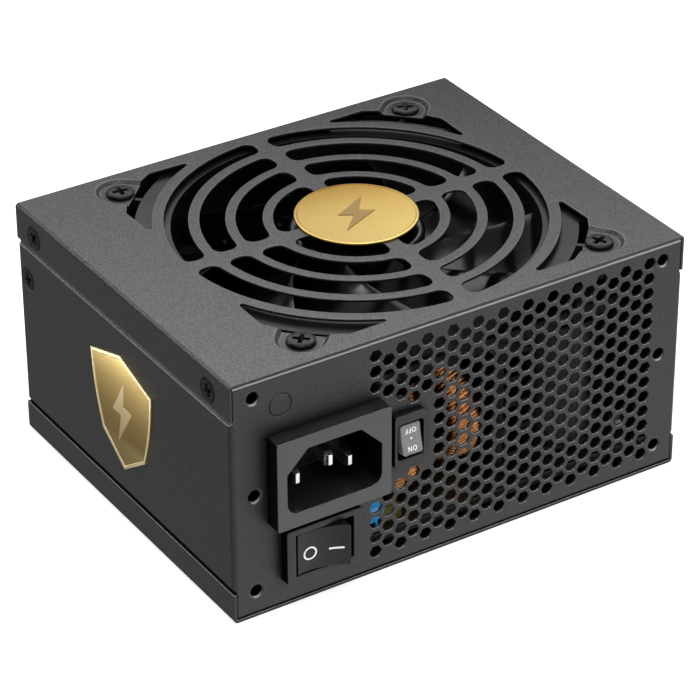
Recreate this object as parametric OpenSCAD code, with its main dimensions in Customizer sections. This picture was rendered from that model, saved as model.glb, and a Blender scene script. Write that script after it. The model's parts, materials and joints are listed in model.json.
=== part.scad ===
// Compact (SFX format) computer power supply unit, built as separate pieces.
// Frame: +X to the right when looking at the rear panel, +Y into the case, +Z up.
// Origin: centre of the mounting pattern, on the rear panel's outer face.
// Pieces are laid out from the case's lower left rear corner, then moved by place().

/* [Case] */
// Width of the case across the rear panel
case_w = 125; // [124.5:0.25:125.5]
// Height of the case, bottom face to top face
case_h = 63.5; // [63.3:0.1:63.7]
// Depth of the case, rear face to front face
case_d = 100; // [99.8:0.1:102]
// Sheet steel thickness
sheet = 0.8; // [0.7:0.05:0.8]
// Height of the side flanges on the top cover
top_flange = 9.3; // [9:0.1:9.5]
// Height of the side flanges on the bottom cover
bottom_flange = 7.8; // [7:0.1:8]

/* [Rear panel] */
// Spacing of the mounting holes across the panel
screw_dx = 113; // [112.5:0.25:113.5]
// Spacing of the corner mounting holes up the panel
screw_dz = 51.5; // [51:0.25:52]
// Diameter of the tapped mounting holes
mount_d = 3; // [2.8:0.1:3.2]
// Hole size across flats in the honeycomb vent
hex_af = 3.0; // [2.6:0.1:3.1]
// Honeycomb column pitch
hex_px = 3.487; // [3.45:0.01:3.5]
// Honeycomb row pitch
hex_pz = 4.08; // [4.05:0.01:4.1]

/* [Fan and grille] */
// Side of the square fan frame
fan_size = 92; // [91:0.5:92]
// Height of the fan frame
fan_h = 15; // [14.5:0.25:15]
// Spacing of the fan's corner holes
fan_pitch = 82.5; // [82:0.25:83]
// Number of fan blades
blades = 9; // [5:1:11]
// Radius of the medallion on the grille
medal_r = 15; // [14:0.5:16]

/* [Switches and inlet] */
// Full swing of the power rocker in degrees
power_swing = 25; // [20:1:25]
// Full swing of the fan mode rocker in degrees
mode_swing = 24; // [16:1:24]
// Depth of the mains inlet cavity
inlet_depth = 16; // [15:0.5:16]

/* [Inside] */
// Number of turns on the large choke
choke_turns = 28; // [20:1:28]
// Thickness of the main circuit board
board_t = 1.6; // [1.2:0.1:1.6]

/* [Hidden] */
$fn = 72;
overlap = 0.01;
mount_x = case_w / 2;          // centre of the mounting pattern
mount_z = 32.75;
fan_x = 65.5;                  // fan centre
fan_y = 50.4;
fan_top = case_h - 1.8;
fan_bottom = fan_top - fan_h;
board_z = 6.6;                 // underside of the main board
board_top = board_z + board_t;

// screw places
flange_pts = [for (y = [9.4, 91]) [y, 57.9]];                          // y, z
panel_pts = [[95.4, 44.7]];                                            // y, z
bottom_pts = [[14, 4.6], [110, 4.6], [14, 95.6], [110, 95.6]];         // x, y
stand_pts = [[8, 26], [8, 86], [117, 12], [117, 86]];                  // x, y

// ---------- helpers ----------
module place() { translate([-mount_x, 0, -mount_z]) children(); }
// z = 0 on the main board's upper face
module on_board() { place() translate([0, 0, board_top]) children(); }
// profile in X and Z, swept along Y
module along_y(from, to) {
  translate([0, to, 0]) rotate([90, 0, 0]) linear_extrude(to - from) children();
}
// profile in Y and Z, swept along X
module along_x(from, to) {
  translate([from, 0, 0]) rotate([90, 0, 90]) linear_extrude(to - from) children();
}
// block between two opposite corners
module box(low, high) { translate(low) cube(high - low); }
// block centred on the Y axis
module slab(width, height, from, to) {
  box([-width / 2, from, -height / 2], [width / 2, to, height / 2]);
}
module round_rect(low, high, radius) {
  size = high - low;
  translate([low[0] + radius, low[1]]) square([size[0] - 2 * radius, size[1]]);
  translate([low[0], low[1] + radius]) square([size[0], size[1] - 2 * radius]);
  for (x = [low[0] + radius, high[0] - radius], y = [low[1] + radius, high[1] - radius])
    translate([x, y]) circle(radius);
}
module y_rod(x, z, radius, from, to) {
  translate([x, from, z]) rotate([-90, 0, 0]) cylinder(r = radius, h = to - from);
}
module tube(outer, inner, height) {
  difference() {
    cylinder(r = outer, h = height);
    translate([0, 0, -1]) cylinder(r = inner, h = height + 2);
  }
}
// wire running back from y = from, then bent down to the board
module wire_down(x, z, radius, from, to, bend) {
  y_rod(x, z, radius, from, to);
  translate([x, to, z - bend]) rotate([90, 0, 90])
    rotate_extrude(angle = 90) translate([bend, 0]) circle(radius);
  translate([x, to + bend, board_top]) cylinder(r = radius, h = z - bend - board_top + overlap);
}
module at_points(points, z = 0) {
  for (p = points) translate([p[0], p[1], z]) children();
}
// the four quadrants about the Z axis
module quadrants() {
  for (m = [0, 1], n = [0, 1]) mirror([m, 0, 0]) mirror([0, n, 0]) children();
}
// a left-hand shape and its mirror image about x = middle
module both_sides(middle) {
  for (m = [0, 1]) translate([m * 2 * middle, 0, 0]) mirror([m, 0, 0]) children();
}
// outline points in reverse order, mirrored about x = middle
function mirrored(points, middle = 0) =
  [for (i = [len(points) - 1:-1:0]) [2 * middle - points[i][0], points[i][1]]];
function arc(centre, radius, start, end, steps) =
  [for (i = [0:steps]) let (a = start + (end - start) * i / steps)
    centre + radius * [cos(a), sin(a)]];

// ---------- screw shapes, pointing down ----------
head_r = 2.9;                  // countersunk head
head_rim = 0.15;
head_depth = 1.3;
shank_r = 1.5;
screw_len = 5;
hole_len = 6;
hole_gap = 0.1;                // radial clearance

module cross_recess(width, depth) {
  for (a = [45, 135]) rotate([0, 0, a])
    translate([-width / 2, -0.4, -depth]) cube([width, 0.8, depth + 1]);
}
// head face at z = 0
module flat_screw() {
  difference() {
    union() {
      translate([0, 0, -head_rim]) cylinder(r = head_r, h = head_rim);
      translate([0, 0, -head_depth])
        cylinder(r1 = shank_r, r2 = head_r, h = head_depth - head_rim);
      translate([0, 0, -screw_len]) cylinder(r = shank_r, h = screw_len - head_depth);
    }
    cross_recess(3.4, 0.8);
  }
}
// space for a countersunk screw
module screw_hole() {
  translate([0, 0, -head_rim]) cylinder(r = head_r + hole_gap, h = 2);
  translate([0, 0, -head_depth])
    cylinder(r1 = shank_r + hole_gap, r2 = head_r + hole_gap, h = head_depth - head_rim);
  translate([0, 0, -hole_len]) cylinder(r = shank_r + hole_gap, h = hole_len);
}
// head seat at z = 0
module pan_screw(head, head_h, shank, length) {
  difference() {
    union() {
      cylinder(r = head, h = head_h * 0.55);
      translate([0, 0, head_h * 0.55]) cylinder(r1 = head, r2 = head * 0.8, h = head_h * 0.45);
      translate([0, 0, -length]) cylinder(r = shank, h = length + overlap);
    }
    translate([0, 0, head_h]) cross_recess(head * 1.15, head_h * 0.7);
  }
}
module at_sides(points) {
  for (p = points) {
    translate([0, p[0], p[1]]) rotate([0, -90, 0]) children();
    translate([case_w, p[0], p[1]]) rotate([0, 90, 0]) children();
  }
}
module at_bottom() { at_points(bottom_pts) mirror([0, 0, 1]) children(); }
module at_fan_corners(z) {
  translate([fan_x, fan_y, z]) quadrants()
    translate([fan_pitch / 2, fan_pitch / 2, 0]) children();
}

// ---------- covers ----------
cover_r = 1;                   // outer radius of the long edges
slot_gap = 2;                  // slot end to the middle of a spoke
// grille slots: inner radius, outer radius, corner radius
slots = [[13.8, 19.9, 2.4], [22.4, 28.8, 2.5], [31.3, 37.4, 2.4], [40.1, 45.9, 2.4]];
seat_reach = 54.9;             // fan centre to the flat side of a screw seat
seat_flat = fan_pitch / sqrt(2) - seat_reach;

// one quadrant of a ring slot, its ends parallel to the spokes
function slot_outline(inner, outer, corner) = let (
    side = slot_gap + corner,
    far = sqrt(pow(outer - corner, 2) - side * side),
    near = sqrt(pow(inner + corner, 2) - side * side),
    far_a = atan2(side, far),
    near_a = atan2(side, near),
    steps = ceil(outer / 3))
  concat(
    arc([0, 0], outer, far_a, 90 - far_a, steps),
    arc([side, far], corner, 90 - far_a + 15, 180, 5),
    arc([side, near], corner, 180, 270 - near_a - 15, 4),
    arc([0, 0], inner, 90 - near_a, near_a, steps),
    arc([near, side], corner, 180 + near_a + 15, 270, 4),
    arc([far, side], corner, 270, 360 + far_a - 15, 5));
// corner opening, between the outer rib and the flat side of the screw seat:
// x, y of the half below the diagonal
half_opening = concat(
  [seat_reach / sqrt(2) * [1, 1], [43.1, 34.5], [45.4, 30.9], [45.25, 21.3], [44.95, 20.9],
    [44.55, 20.85]],
  arc([0, 0], 48.8, 25.2, 45, 8));
corner_opening = concat(half_opening,
  [for (i = [len(half_opening) - 2:-1:1]) [half_opening[i][1], half_opening[i][0]]]);
// D shape, round towards +X, its flat side at x = -flat
function d_outline(radius, flat) =
  concat([[-flat, -radius]], arc([0, 0], radius, -90, 90, 16), [[-flat, radius]]);
// solid through D outlines; levels hold radius, height
module d_frustum(levels, flat) {
  count = len(d_outline(1, flat));
  top = len(levels) - 1;
  polyhedron(
    points = [for (l = levels) for (p = d_outline(l[0], flat)) [p[0], p[1], l[1]]],
    faces = concat(
      [[for (i = [0:count - 1]) i]],
      [for (j = [0:top - 1]) for (i = [0:count - 1]) let (next = (i + 1) % count)
        [j * count + i, (j + 1) * count + i, (j + 1) * count + next, j * count + next]],
      [[for (i = [count - 1:-1:0]) top * count + i]]));
}

module top_cover() {
  color("#4a4a4c") place() difference() {
    union() {
      along_y(0, case_d) difference() {
        union() {
          translate([0, case_h - top_flange]) square([case_w, top_flange - cover_r]);
          translate([cover_r, case_h - top_flange]) square([case_w - 2 * cover_r, top_flange]);
          for (x = [cover_r, case_w - cover_r]) translate([x, case_h - cover_r]) circle(cover_r);
        }
        translate([sheet, 0]) square([case_w - 2 * sheet, case_h - sheet]);
      }
      // pressed seats for the fan screws
      at_fan_corners(fan_top) linear_extrude(case_h - sheet + 0.2 - fan_top)
        rotate([0, 0, 45]) polygon(d_outline(6.3, seat_flat));
    }
    translate([fan_x, fan_y, case_h - sheet - 1]) quadrants() {
      for (s = slots) linear_extrude(5) polygon(slot_outline(s[0], s[1], s[2]));
      linear_extrude(5) polygon(corner_opening);
    }
    // recess above each seat with a sloping wall, open towards the fan
    at_fan_corners(fan_top + sheet) {
      rotate([0, 0, 45]) d_frustum([[5, 0], [6.1, 1], [6.1, 3]], seat_flat + 1);
      translate([0, 0, -2]) cylinder(r = 2.3, h = 5);
    }
    at_sides(flange_pts) screw_hole();
  }
}
module bottom_cover() {
  color("#3e3e40") place() difference() {
    along_y(0, case_d) difference() {
      union() {
        translate([0, cover_r]) square([case_w, bottom_flange - cover_r]);
        translate([cover_r, 0]) square([case_w - 2 * cover_r, bottom_flange]);
        for (x = [cover_r, case_w - cover_r]) translate([x, cover_r]) circle(cover_r);
      }
      translate([sheet, sheet]) square([case_w - 2 * sheet, 30]);
    }
    at_bottom() screw_hole();
  }
}

// ---------- chassis and front panel ----------
inset = 0.9;                   // chassis faces inside the case outline
shell_top = case_h - inset;
upright_r = 1.3;               // radius of the upright rear edges
hex_x = 38.3;                  // first honeycomb column
// first and last honeycomb row left out, for columns 0 to 4
hex_skip = [[3, 9], [3, 8], [4, 8], [4, 7], [4, 8]];
// rear openings for the inlet and the two switches: low x, low z, high x, high z
openings = [[10.7, 25.4, 38.2, 46.0], [13.4, 8.1, 32.1, 21.1], [42.5, 28.9, 50.8, 40.5]];

// sockets: left edge, lower edge, columns
board_sockets = [[8, 33, 12]];
eight_sockets = [[66, 33, 4], [90, 33, 4], [8, 16, 4]];
six_sockets = [[34, 16, 3], [56, 16, 3], [78, 16, 3]];
all_sockets = concat(board_sockets, eight_sockets, six_sockets);
cell_pitch = 4.2;
socket_h = 10.2;
socket_gap = 0.15;             // panel clearance
function socket_w(columns) = columns * cell_pitch + 2.6;

function hex_open(column, row) =
  row <= 13 - column % 2
  && (column > 4 || row < hex_skip[column][0] || row > hex_skip[column][1]);
// the chassis in X and Z, offset inwards; the sides bulge out between the cover flanges
module wall_profile(offset_in) {
  bevel = 0.41 * offset_in;
  edge = inset + offset_in;
  left = [[edge, edge], [edge, 8.4 + bevel], [offset_in, 9.3 + bevel],
    [offset_in, 52.9 - bevel], [edge, 53.8 - bevel], [edge, shell_top - offset_in]];
  polygon(concat(left, mirrored(left, case_w / 2)));
}
// room in the top lips for the pressed screw seats
module seat_notches(y) {
  for (s = [-1, 1]) translate([fan_x + s * fan_pitch / 2, y, 61]) cylinder(r = 6.5, h = 1.7);
}
module chassis() {
  color("#3c3c3e") place() difference() {
    intersection() {
      along_y(0, case_d - 0.9) wall_profile(0);
      linear_extrude(case_h) union() {
        translate([0, upright_r]) square([case_w, case_d]);
        translate([upright_r, 0]) square([case_w - 2 * upright_r, case_d]);
        for (x = [upright_r, case_w - upright_r]) translate([x, upright_r]) circle(upright_r);
      }
      // rounds the upper and lower rear edges
      along_x(0, case_w) union() {
        translate([inset, inset]) square([case_d, shell_top - inset]);
        translate([0, 2 * inset]) square([case_d, shell_top - 3 * inset]);
        for (z = [2 * inset, shell_top - inset]) translate([inset, z]) circle(inset);
      }
    }
    along_y(sheet, case_d + 1) wall_profile(sheet);
    // open top and bottom, with lips left along the rear
    box([-1, 3.6, shell_top - sheet], [case_w + 1, case_d + 1, 70]);
    box([-1, 8, -1], [case_w + 1, case_d + 1, inset + sheet]);
    for (column = [0:22], row = [0:13]) if (hex_open(column, row))
      translate([hex_x + column * hex_px, -1, (column % 2 == 0 ? 58.75 : 56.75) - row * hex_pz])
        rotate([-90, 0, 0]) cylinder(r = hex_af / sqrt(3), h = 3, $fn = 6);
    // mounting holes with countersunk mouths
    for (x = [mount_x - screw_dx / 2, mount_x + screw_dx / 2],
        z = [mount_z - screw_dz / 2, mount_z, mount_z + screw_dz / 2]) {
      y_rod(x, z, mount_d / 2, -1, 3);
      translate([x, -overlap, z]) rotate([-90, 0, 0])
        cylinder(r1 = mount_d / 2 + 0.5, r2 = mount_d / 2, h = 0.3);
    }
    // scored disc
    translate([13.1, -1, 54.6]) rotate([-90, 0, 0]) linear_extrude(1.15) difference() {
      circle(2.95);
      circle(2.75);
    }
    for (o = openings) box([o[0], -1, o[1]], [o[2], 3, o[3]]);
    at_sides(flange_pts) screw_hole();
    at_sides(panel_pts) screw_hole();
    at_bottom() screw_hole();
    seat_notches(fan_y - fan_pitch / 2);
  }
}
module front_panel() {
  back = case_d - sheet;
  color("#3c3c3e") place() difference() {
    union() {
      box([0.8, back, inset], [case_w - 0.8, case_d, shell_top]);
      // side tabs, then bottom and top lips
      for (x = [0.8, case_w - 0.8 - sheet])
        box([x, case_d - 14, 10.5], [x + sheet, back + overlap, 51.9]);
      box([3, case_d - 8, inset], [case_w - 3, back + overlap, inset + sheet]);
      box([3, case_d - 3, shell_top - sheet], [case_w - 3, back + overlap, shell_top]);
    }
    at_sides(panel_pts) screw_hole();
    at_bottom() screw_hole();
    seat_notches(fan_y + fan_pitch / 2);
    for (s = all_sockets)
      box([s[0] - socket_gap, case_d - 2, s[1] - socket_gap],
        [s[0] + socket_w(s[2]) + socket_gap, case_d + 1, s[1] + socket_h + socket_gap]);
  }
}

// ---------- badges ----------
module lightning(size) {
  scale([size, size])
    polygon([[1.2, 8], [-4.2, -0.8], [-0.6, -0.8], [-2.2, -8], [4.2, 1.6], [0.5, 1.6]]);
}
// pointed top and bottom, bowed sides
module shield(size) {
  half_w = 14.2 * size;
  half_h = 15.65 * size;
  right = [for (i = [0:7]) let (t = i / 7)
    [half_w * (1 - 0.3 * t) + 0.9 * size * sin(180 * t), half_h * (0.713 - 1.278 * t)]];
  polygon(concat([[0, half_h]], right, [[0, -half_h]], mirrored(right)));
}
module grille_medallion() {
  color("#cfa23c") place() translate([fan_x, fan_y, case_h]) {
    difference() {
      cylinder(r = medal_r, h = 0.6);
      translate([0, 0, 0.45]) cylinder(r = medal_r - 0.8, h = 1);
    }
    translate([0, 0, 0.4]) linear_extrude(0.2) lightning(1);
  }
}
// on the left side of the case
module side_badge() {
  color("#cfa23c") place() translate([0, 49.2, 30.95]) rotate([90, 0, -90]) {
    difference() {
      linear_extrude(0.5) shield(1);
      translate([0, 0, 0.35]) linear_extrude(1) shield(0.94);
    }
    translate([0, 0, 0.3]) linear_extrude(0.2) lightning(1.1);
  }
}

// ---------- case screws ----------
module cover_screws() { color("#1d1d1f") place() at_sides(flange_pts) flat_screw(); }
module front_panel_screws() { color("#1d1d1f") place() at_sides(panel_pts) flat_screw(); }
module bottom_screws() { color("#1d1d1f") place() at_bottom() flat_screw(); }
module fan_screws() {
  color("#1d1d1f") place() at_fan_corners(fan_top + sheet)
    pan_screw(head = 3.4, head_h = 1.0, shank = 2.0, length = 9);
}

// ---------- mains inlet ----------
inlet_x = 24.45;               // middle of the inlet
inlet_front = -4.5;
// pins: x, z, y of the tip
pins = [[inlet_x - 7, 33.4, 0.2], [inlet_x + 7, 33.4, 0.2], [inlet_x, 37.4, -2.6]];

// cavity outline: two cut corners at the top, two round corners at the bottom
module inlet_outline(low, high, cut, radius) {
  translate([low[0] + radius, low[1]])
    square([high[0] - low[0] - 2 * radius, radius + overlap]);
  for (x = [low[0] + radius, high[0] - radius]) translate([x, low[1] + radius]) circle(radius);
  polygon([[low[0], low[1] + radius], [high[0], low[1] + radius], [high[0], high[1] - cut],
    [high[0] - cut, high[1]], [low[0] + cut, high[1]], [low[0], high[1] - cut]]);
}
module ac_inlet_body() {
  color("#55565a") place() difference() {
    union() {
      along_y(inlet_front, 0) round_rect([9.2, 24], [39.7, 47.5], 0.6);
      box([10.9, -overlap, 25.6], [38, 13, 45.8]);
      // snap hooks behind the panel
      both_sides(inlet_x) translate([0, 0, 31]) linear_extrude(9)
        polygon([[11, 0.95], [10.1, 0.95], [10.1, 1.6], [11, 5]]);
    }
    along_y(-5, inlet_depth + inlet_front)
      inlet_outline([11.95, 27.85], [36.95, 44.05], 5.5, 3);
    for (p = pins) translate([p[0], 0, p[1]]) slab(2.1, 4.1, 5, 14);
  }
}
module ac_pins() {
  end = 14.5;
  color("#c9c9c6") place() for (p = pins) let (tip = p[2]) translate([p[0], 0, p[1]]) {
    // blade tapered at its tip both ways
    intersection() {
      translate([0, 0, -2]) linear_extrude(4)
        polygon([[-0.5, tip], [0.5, tip], [1, tip + 1.2], [1, end], [-1, end], [-1, tip + 1.2]]);
      along_x(-1, 1) polygon([[tip, -1.25], [tip, 1.25], [tip + 1.6, 2], [end, 2], [end, -2],
        [tip + 1.6, -2]]);
    }
    slab(0.8, 4.8, end - overlap, 21);
  }
}
module ac_wires() {
  color("#7a4a2a") place() for (p = pins) {
    // insulated receptacle and a wire down to the board
    translate([p[0], 0, p[1]]) difference() {
      slab(3.6, 6.4, 15, 23);
      slab(0.9, 4.9, 14, 21.2);
    }
    wire_down(p[0], p[1], 1.1, 22.9, 23.5, 3);
  }
}

// ---------- power switch ----------
power_x = 22.75;               // switch centre
power_z = 14.6;
pivot_y = 0.5;
tab_xs = [-4.45, 4.45];        // terminals, from the switch centre
module at_power() { place() translate([power_x, 0, power_z]) children(); }

module power_switch_frame() {
  color("#2b2b2d") at_power() difference() {
    union() {
      along_y(-2.7, 0) round_rect([-10.15, -7.3], [10.15, 7.3], 0.8);
      slab(18.3, 12.6, -overlap, 12);
      // snap hooks behind the panel
      both_sides(0) translate([0, 0, -2.6]) linear_extrude(5)
        polygon([[-9.05, 0.95], [-9.95, 0.95], [-9.95, 1.5], [-9.05, 4.5]]);
    }
    slab(15.4, 11.2, -4, 9);
    translate([0, pivot_y, -6.6]) cylinder(r = 1.25, h = 14);
    for (x = tab_xs) translate([x, 0, 0]) slab(0.9, 4.9, 8, 13);
  }
}
module power_rocker() {
  color("#161617") at_power() translate([0, pivot_y, 0]) {
    // bowed outer face, from one raised end to the other
    rotate([0, 0, -power_swing / 2]) translate([0, 0, -5.45]) linear_extrude(10.9)
      polygon(concat(
        [[-6.5, -4.64]],
        [for (i = [1:7]) let (x = -6.5 + 13 * i / 8) [x, -3.3 - 0.0317 * x * x]],
        [[6.5, -4.64], [5.8, -1], [4, 3.5], [-4, 3.5], [-5.8, -1]]));
    translate([0, 0, -6.1]) cylinder(r = 1.2, h = 12.2);
  }
}
module power_switch_terminals() {
  color("#c8a862") at_power() for (x = tab_xs) translate([x, 0, 0]) {
    slab(0.8, 4.8, 8.2, 18.5);
    slab(3, 4, 7.6, 8.3);
  }
}

// ---------- fan mode switch ----------
mode_y = 0.93;                 // rocker pivot
mode_z = 34.45;
mode_pin_x = 44.2;
mode_pin_zs = [31.8, 37.2];

module fan_mode_switch_frame() {
  color("#2f2f31") place() difference() {
    union() {
      along_y(-1.7, 0) round_rect([42.3, 27.9], [51, 41.8], 0.9);
      box([42.65, -overlap, 29.05], [50.65, 8.4, 40.35]);
    }
    along_y(-3, 6.5) round_rect([43.15, 29.9], [50.15, 39.4], 0.8);
    translate([42, mode_y, mode_z]) rotate([0, 90, 0]) cylinder(r = 0.95, h = 10);
    for (z = mode_pin_zs) y_rod(mode_pin_x, z, 0.55, 5, 10);
  }
}
module fan_mode_rocker() {
  color("#808082") place() translate([0, mode_y, mode_z]) {
    rotate([-mode_swing / 2, 0, 0]) intersection() {
      along_x(44, 49.4) polygon(concat(
        [[-3.1, -3.8]],
        [for (i = [1:5]) let (z = -3.8 + 7.6 * i / 6) [-3.1 + 0.25 * (1 - pow(z / 3.8, 2)), z]],
        [[-3.1, 3.8], [0.4, 3.5], [2.6, 1.6], [2.6, -1.6], [0.4, -3.5]]));
      along_y(-5, 5) round_rect([44, -3.8], [49.4, 3.8], 0.7);
    }
    translate([42.8, 0, 0]) rotate([0, 90, 0]) cylinder(r = 0.9, h = 7.7);
  }
}
module fan_mode_terminals() {
  color("#c8a862") place() for (z = mode_pin_zs) y_rod(mode_pin_x, z, 0.5, 5.4, 12.5);
}
module switch_wires() {
  color("#1a1a1b") place() {
    for (x = tab_xs) {
      translate([power_x + x, 0, power_z]) difference() {
        slab(2.6, 5.8, 12.8, 19.2);
        slab(0.9, 4.9, 12, 18.6);
      }
      wire_down(power_x + x, power_z, 0.9, 19.1, 20, 2.5);
    }
    // pin, y where its wire bends down
    for (w = [[1, 16.5], [0, 14]]) let (z = mode_pin_zs[w[0]]) {
      translate([mode_pin_x, 9.5, z]) rotate([-90, 0, 0]) tube(0.9, 0.55, 3.2);
      wire_down(mode_pin_x, z, 0.9, 12.6, w[1], 2.5);
    }
  }
}

// ---------- fan ----------
hub_r = 16.4;
magnet_r = hub_r - 1.5;
bore_r = fan_size / 2 - 1.7;
shaft_r = 1.5;
bearing_r = 4;
rim_h = 3.2;                   // square rims at the top and bottom of the frame
module at_fan() { place() translate([fan_x, fan_y, fan_bottom]) children(); }
module four_turns() { for (a = [0:90:270]) rotate([0, 0, a]) children(); }

module fan_rim(z) {
  half = fan_size / 2;
  translate([0, 0, z]) linear_extrude(rim_h) round_rect([-half, -half], [half, half], 4.5);
}
module fan_frame() {
  color("#1a1a1b") at_fan() {
    difference() {
      union() {
        fan_rim(0);
        fan_rim(fan_h - rim_h);
        cylinder(r = fan_size / 2, h = fan_h);
      }
      translate([0, 0, -1]) cylinder(r = bore_r, h = fan_h + 2);
      for (x = [-1, 1], y = [-1, 1])
        translate([x * fan_pitch / 2, y * fan_pitch / 2, -1]) cylinder(r = 2.15, h = fan_h + 2);
      // curved slots between the shroud and each ear, with a web on the diagonal
      for (a = [45:90:315], s = [0, 1]) rotate([0, 0, a]) mirror([0, s, 0])
        translate([0, 0, -1]) intersection() {
          tube(55.4, 53, fan_h + 2);
          translate([45, 0.6, 0]) cube([15, 11.4, fan_h + 2]);
        }
    }
    // motor seat, its tube and four arms
    cylinder(r = 16, h = 1.5);
    tube(5.2, bearing_r, 8.5);
    for (a = [45:90:315]) rotate([0, 0, a])
      translate([15, -2, 0]) cube([bore_r - 14.8, 4, 2.4]);
  }
}
// blade surface: span 0 at the hub to 1 at the tip, chord 0 at the leading edge to 1;
// swept in plan, high at its leading edge and flattening towards the trailing edge
function lead_angle(span) = -27 + 46 * span - 16 * span * span;
function blade_point(span, chord, rise) = let (
    r = hub_r - 0.5 + (bore_r - 0.3 - hub_r) * span,
    a = lead_angle(span) - chord * (32 + 2 * span))
  [r * cos(a), r * sin(a), 4.3 + 8.4 * pow(1 - chord, 1.7) + rise];
module blade() {
  across = 7;
  out = 5;
  function upper(j, i) = (j * (across + 1) + i) * 2;
  function lower(j, i) = upper(j, i) + 1;
  polyhedron(
    [for (j = [0:out], i = [0:across], rise = [0.55, -0.55])
      blade_point(j / out, i / across, rise)],
    concat(
      // upper and lower faces
      [for (j = [0:out - 1], i = [0:across - 1], f = [
        [upper(j, i), upper(j + 1, i), upper(j + 1, i + 1)],
        [upper(j, i), upper(j + 1, i + 1), upper(j, i + 1)],
        [lower(j, i), lower(j + 1, i + 1), lower(j + 1, i)],
        [lower(j, i), lower(j, i + 1), lower(j + 1, i + 1)]]) f],
      // leading and trailing edges
      [for (j = [0:out - 1], f = [
        [upper(j, 0), lower(j, 0), lower(j + 1, 0)],
        [upper(j, 0), lower(j + 1, 0), upper(j + 1, 0)],
        [upper(j, across), lower(j + 1, across), lower(j, across)],
        [upper(j, across), upper(j + 1, across), lower(j + 1, across)]]) f],
      // root and tip
      [for (i = [0:across - 1], f = [
        [upper(0, i), upper(0, i + 1), lower(0, i + 1)],
        [upper(0, i), lower(0, i + 1), lower(0, i)],
        [upper(out, i), lower(out, i + 1), upper(out, i + 1)],
        [upper(out, i), lower(out, i), lower(out, i + 1)]]) f]));
}
module fan_rotor() {
  color("#131314") at_fan() difference() {
    union() {
      difference() {
        translate([0, 0, 3]) cylinder(r = hub_r, h = fan_h - 4);
        translate([0, 0, 2]) cylinder(r = magnet_r, h = fan_h - 4.4);
      }
      translate([0, 0, 10.6]) cylinder(r = 3.2, h = 3);
      for (i = [0:blades - 1]) rotate([0, 0, 15.5 + i * 360 / blades]) blade();
    }
    translate([0, 0, 5]) cylinder(r = shaft_r, h = 7.8);
  }
}
module fan_shaft() {
  color("#c4c4c4") at_fan() translate([0, 0, 2]) cylinder(r = shaft_r, h = 10.6);
}
module fan_magnet() {
  color("#3a3431") at_fan() translate([0, 0, 3.4]) tube(magnet_r, 13.4, 7.4);
}
module fan_bearing() {
  color("#9a7b4a") at_fan() translate([0, 0, 2]) tube(bearing_r, 1.55, 8);
}
module fan_stator() {
  stack_h = 5;
  color("#777b80") at_fan() translate([0, 0, 4.2]) difference() {
    union() {
      cylinder(r = 7, h = stack_h);
      four_turns() translate([0, -2, 0]) cube([12, 4, stack_h]);
      // pole shoes
      four_turns() intersection() {
        tube(12.9, 11.3, stack_h);
        translate([0, -7, 0]) cube([20, 14, stack_h]);
      }
    }
    translate([0, 0, -1]) cylinder(r = 5.25, h = 8);
  }
}
module fan_coils() {
  color("#b5652c") at_fan() four_turns() translate([7.3, 0, 0]) difference() {
    translate([0, -4, 3.4]) cube([3.1, 8, 6.6]);
    translate([-1, -2.05, 4.15]) cube([6, 4.1, 5.1]);
  }
}
module fan_circuit_board() {
  color("#2c6b3f") at_fan() translate([0, 0, 1.6]) tube(12.5, 5.4, 1);
}
connector_h = 7;
module fan_cable() {
  wire_r = 0.75;
  bend = 2;
  start = fan_x + fan_size / 2 + 0.1;
  low = board_top + connector_h;
  color("#8a2020") place() for (i = [0, 1])
    let (x = 115 + i * 2.2, z = fan_bottom + 1.5 + i * 2.4) {
      translate([start, fan_y, z]) rotate([0, 90, 0]) cylinder(r = wire_r, h = x - bend - start);
      translate([x - bend, fan_y, z - bend]) rotate([90, 0, 0])
        rotate_extrude(angle = 90) translate([bend, 0]) circle(wire_r);
      translate([x, fan_y, low]) cylinder(r = wire_r, h = z - bend - low);
    }
}
module fan_connector() {
  color("#d9d6cb") on_board() difference() {
    box([112.9, 47.4, 0], [119.3, 53.4, connector_h]);
    box([113.9, 48.4, 5], [118.3, 49.2, 8]);
  }
}

// ---------- board and its fixings ----------
stand_z = 0.8;                 // foot of the standoffs and the insulation sheet
module insulation_sheet() {
  color("#d8d4c0") place() difference() {
    box([3, 9, stand_z], [122, 91, 1.2]);
    at_points(stand_pts) cylinder(r = 4, h = 3);
  }
}
module board_standoffs() {
  color("#b8bcc0") place() at_points(stand_pts, stand_z) difference() {
    cylinder(r = 3.1, h = board_z - stand_z, $fn = 6);
    translate([0, 0, 0.8]) cylinder(r = 1.6, h = board_z);
  }
}
module board_screws() {
  color("#b8bcc0") on_board() at_points(stand_pts)
    pan_screw(head = 2.8, head_h = 1.6, shank = 1.5, length = 5);
}
module main_board() {
  color("#5d5a2a") place() difference() {
    box([4, 3, board_z], [121, 92, board_top]);
    // rear left corner cut away
    box([3, 2, board_z - 1], [35, 20, board_top + 1]);
    at_points(stand_pts) cylinder(r = 1.7, h = 20);
  }
}

// ---------- chokes ----------
pfc_centre = [70.4, 23.1, 22.9];
filter_z = 18.4;
filter_places = [[51.5, 17.7, 0], [22, 46, 90]];   // x, y, turn about Z

// separate turns of flat-sided wire round a ring, centred, axis along Z;
// inner, outer and height bound the space for the core
module turns(count, inner, outer, height, thick, width) {
  for (i = [0:count - 1]) rotate([0, 0, i * 360 / count])
    translate([0, width / 2, 0]) rotate([90, 0, 0]) linear_extrude(width) difference() {
      translate([inner - thick, -height / 2 - thick])
        square([outer - inner + 2 * thick, height + 2 * thick]);
      translate([inner, -height / 2]) square([outer - inner, height]);
    }
}
module at_filters() {
  for (p = filter_places) translate([p[0], p[1], 0]) rotate([0, 0, p[2]]) children();
}
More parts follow.
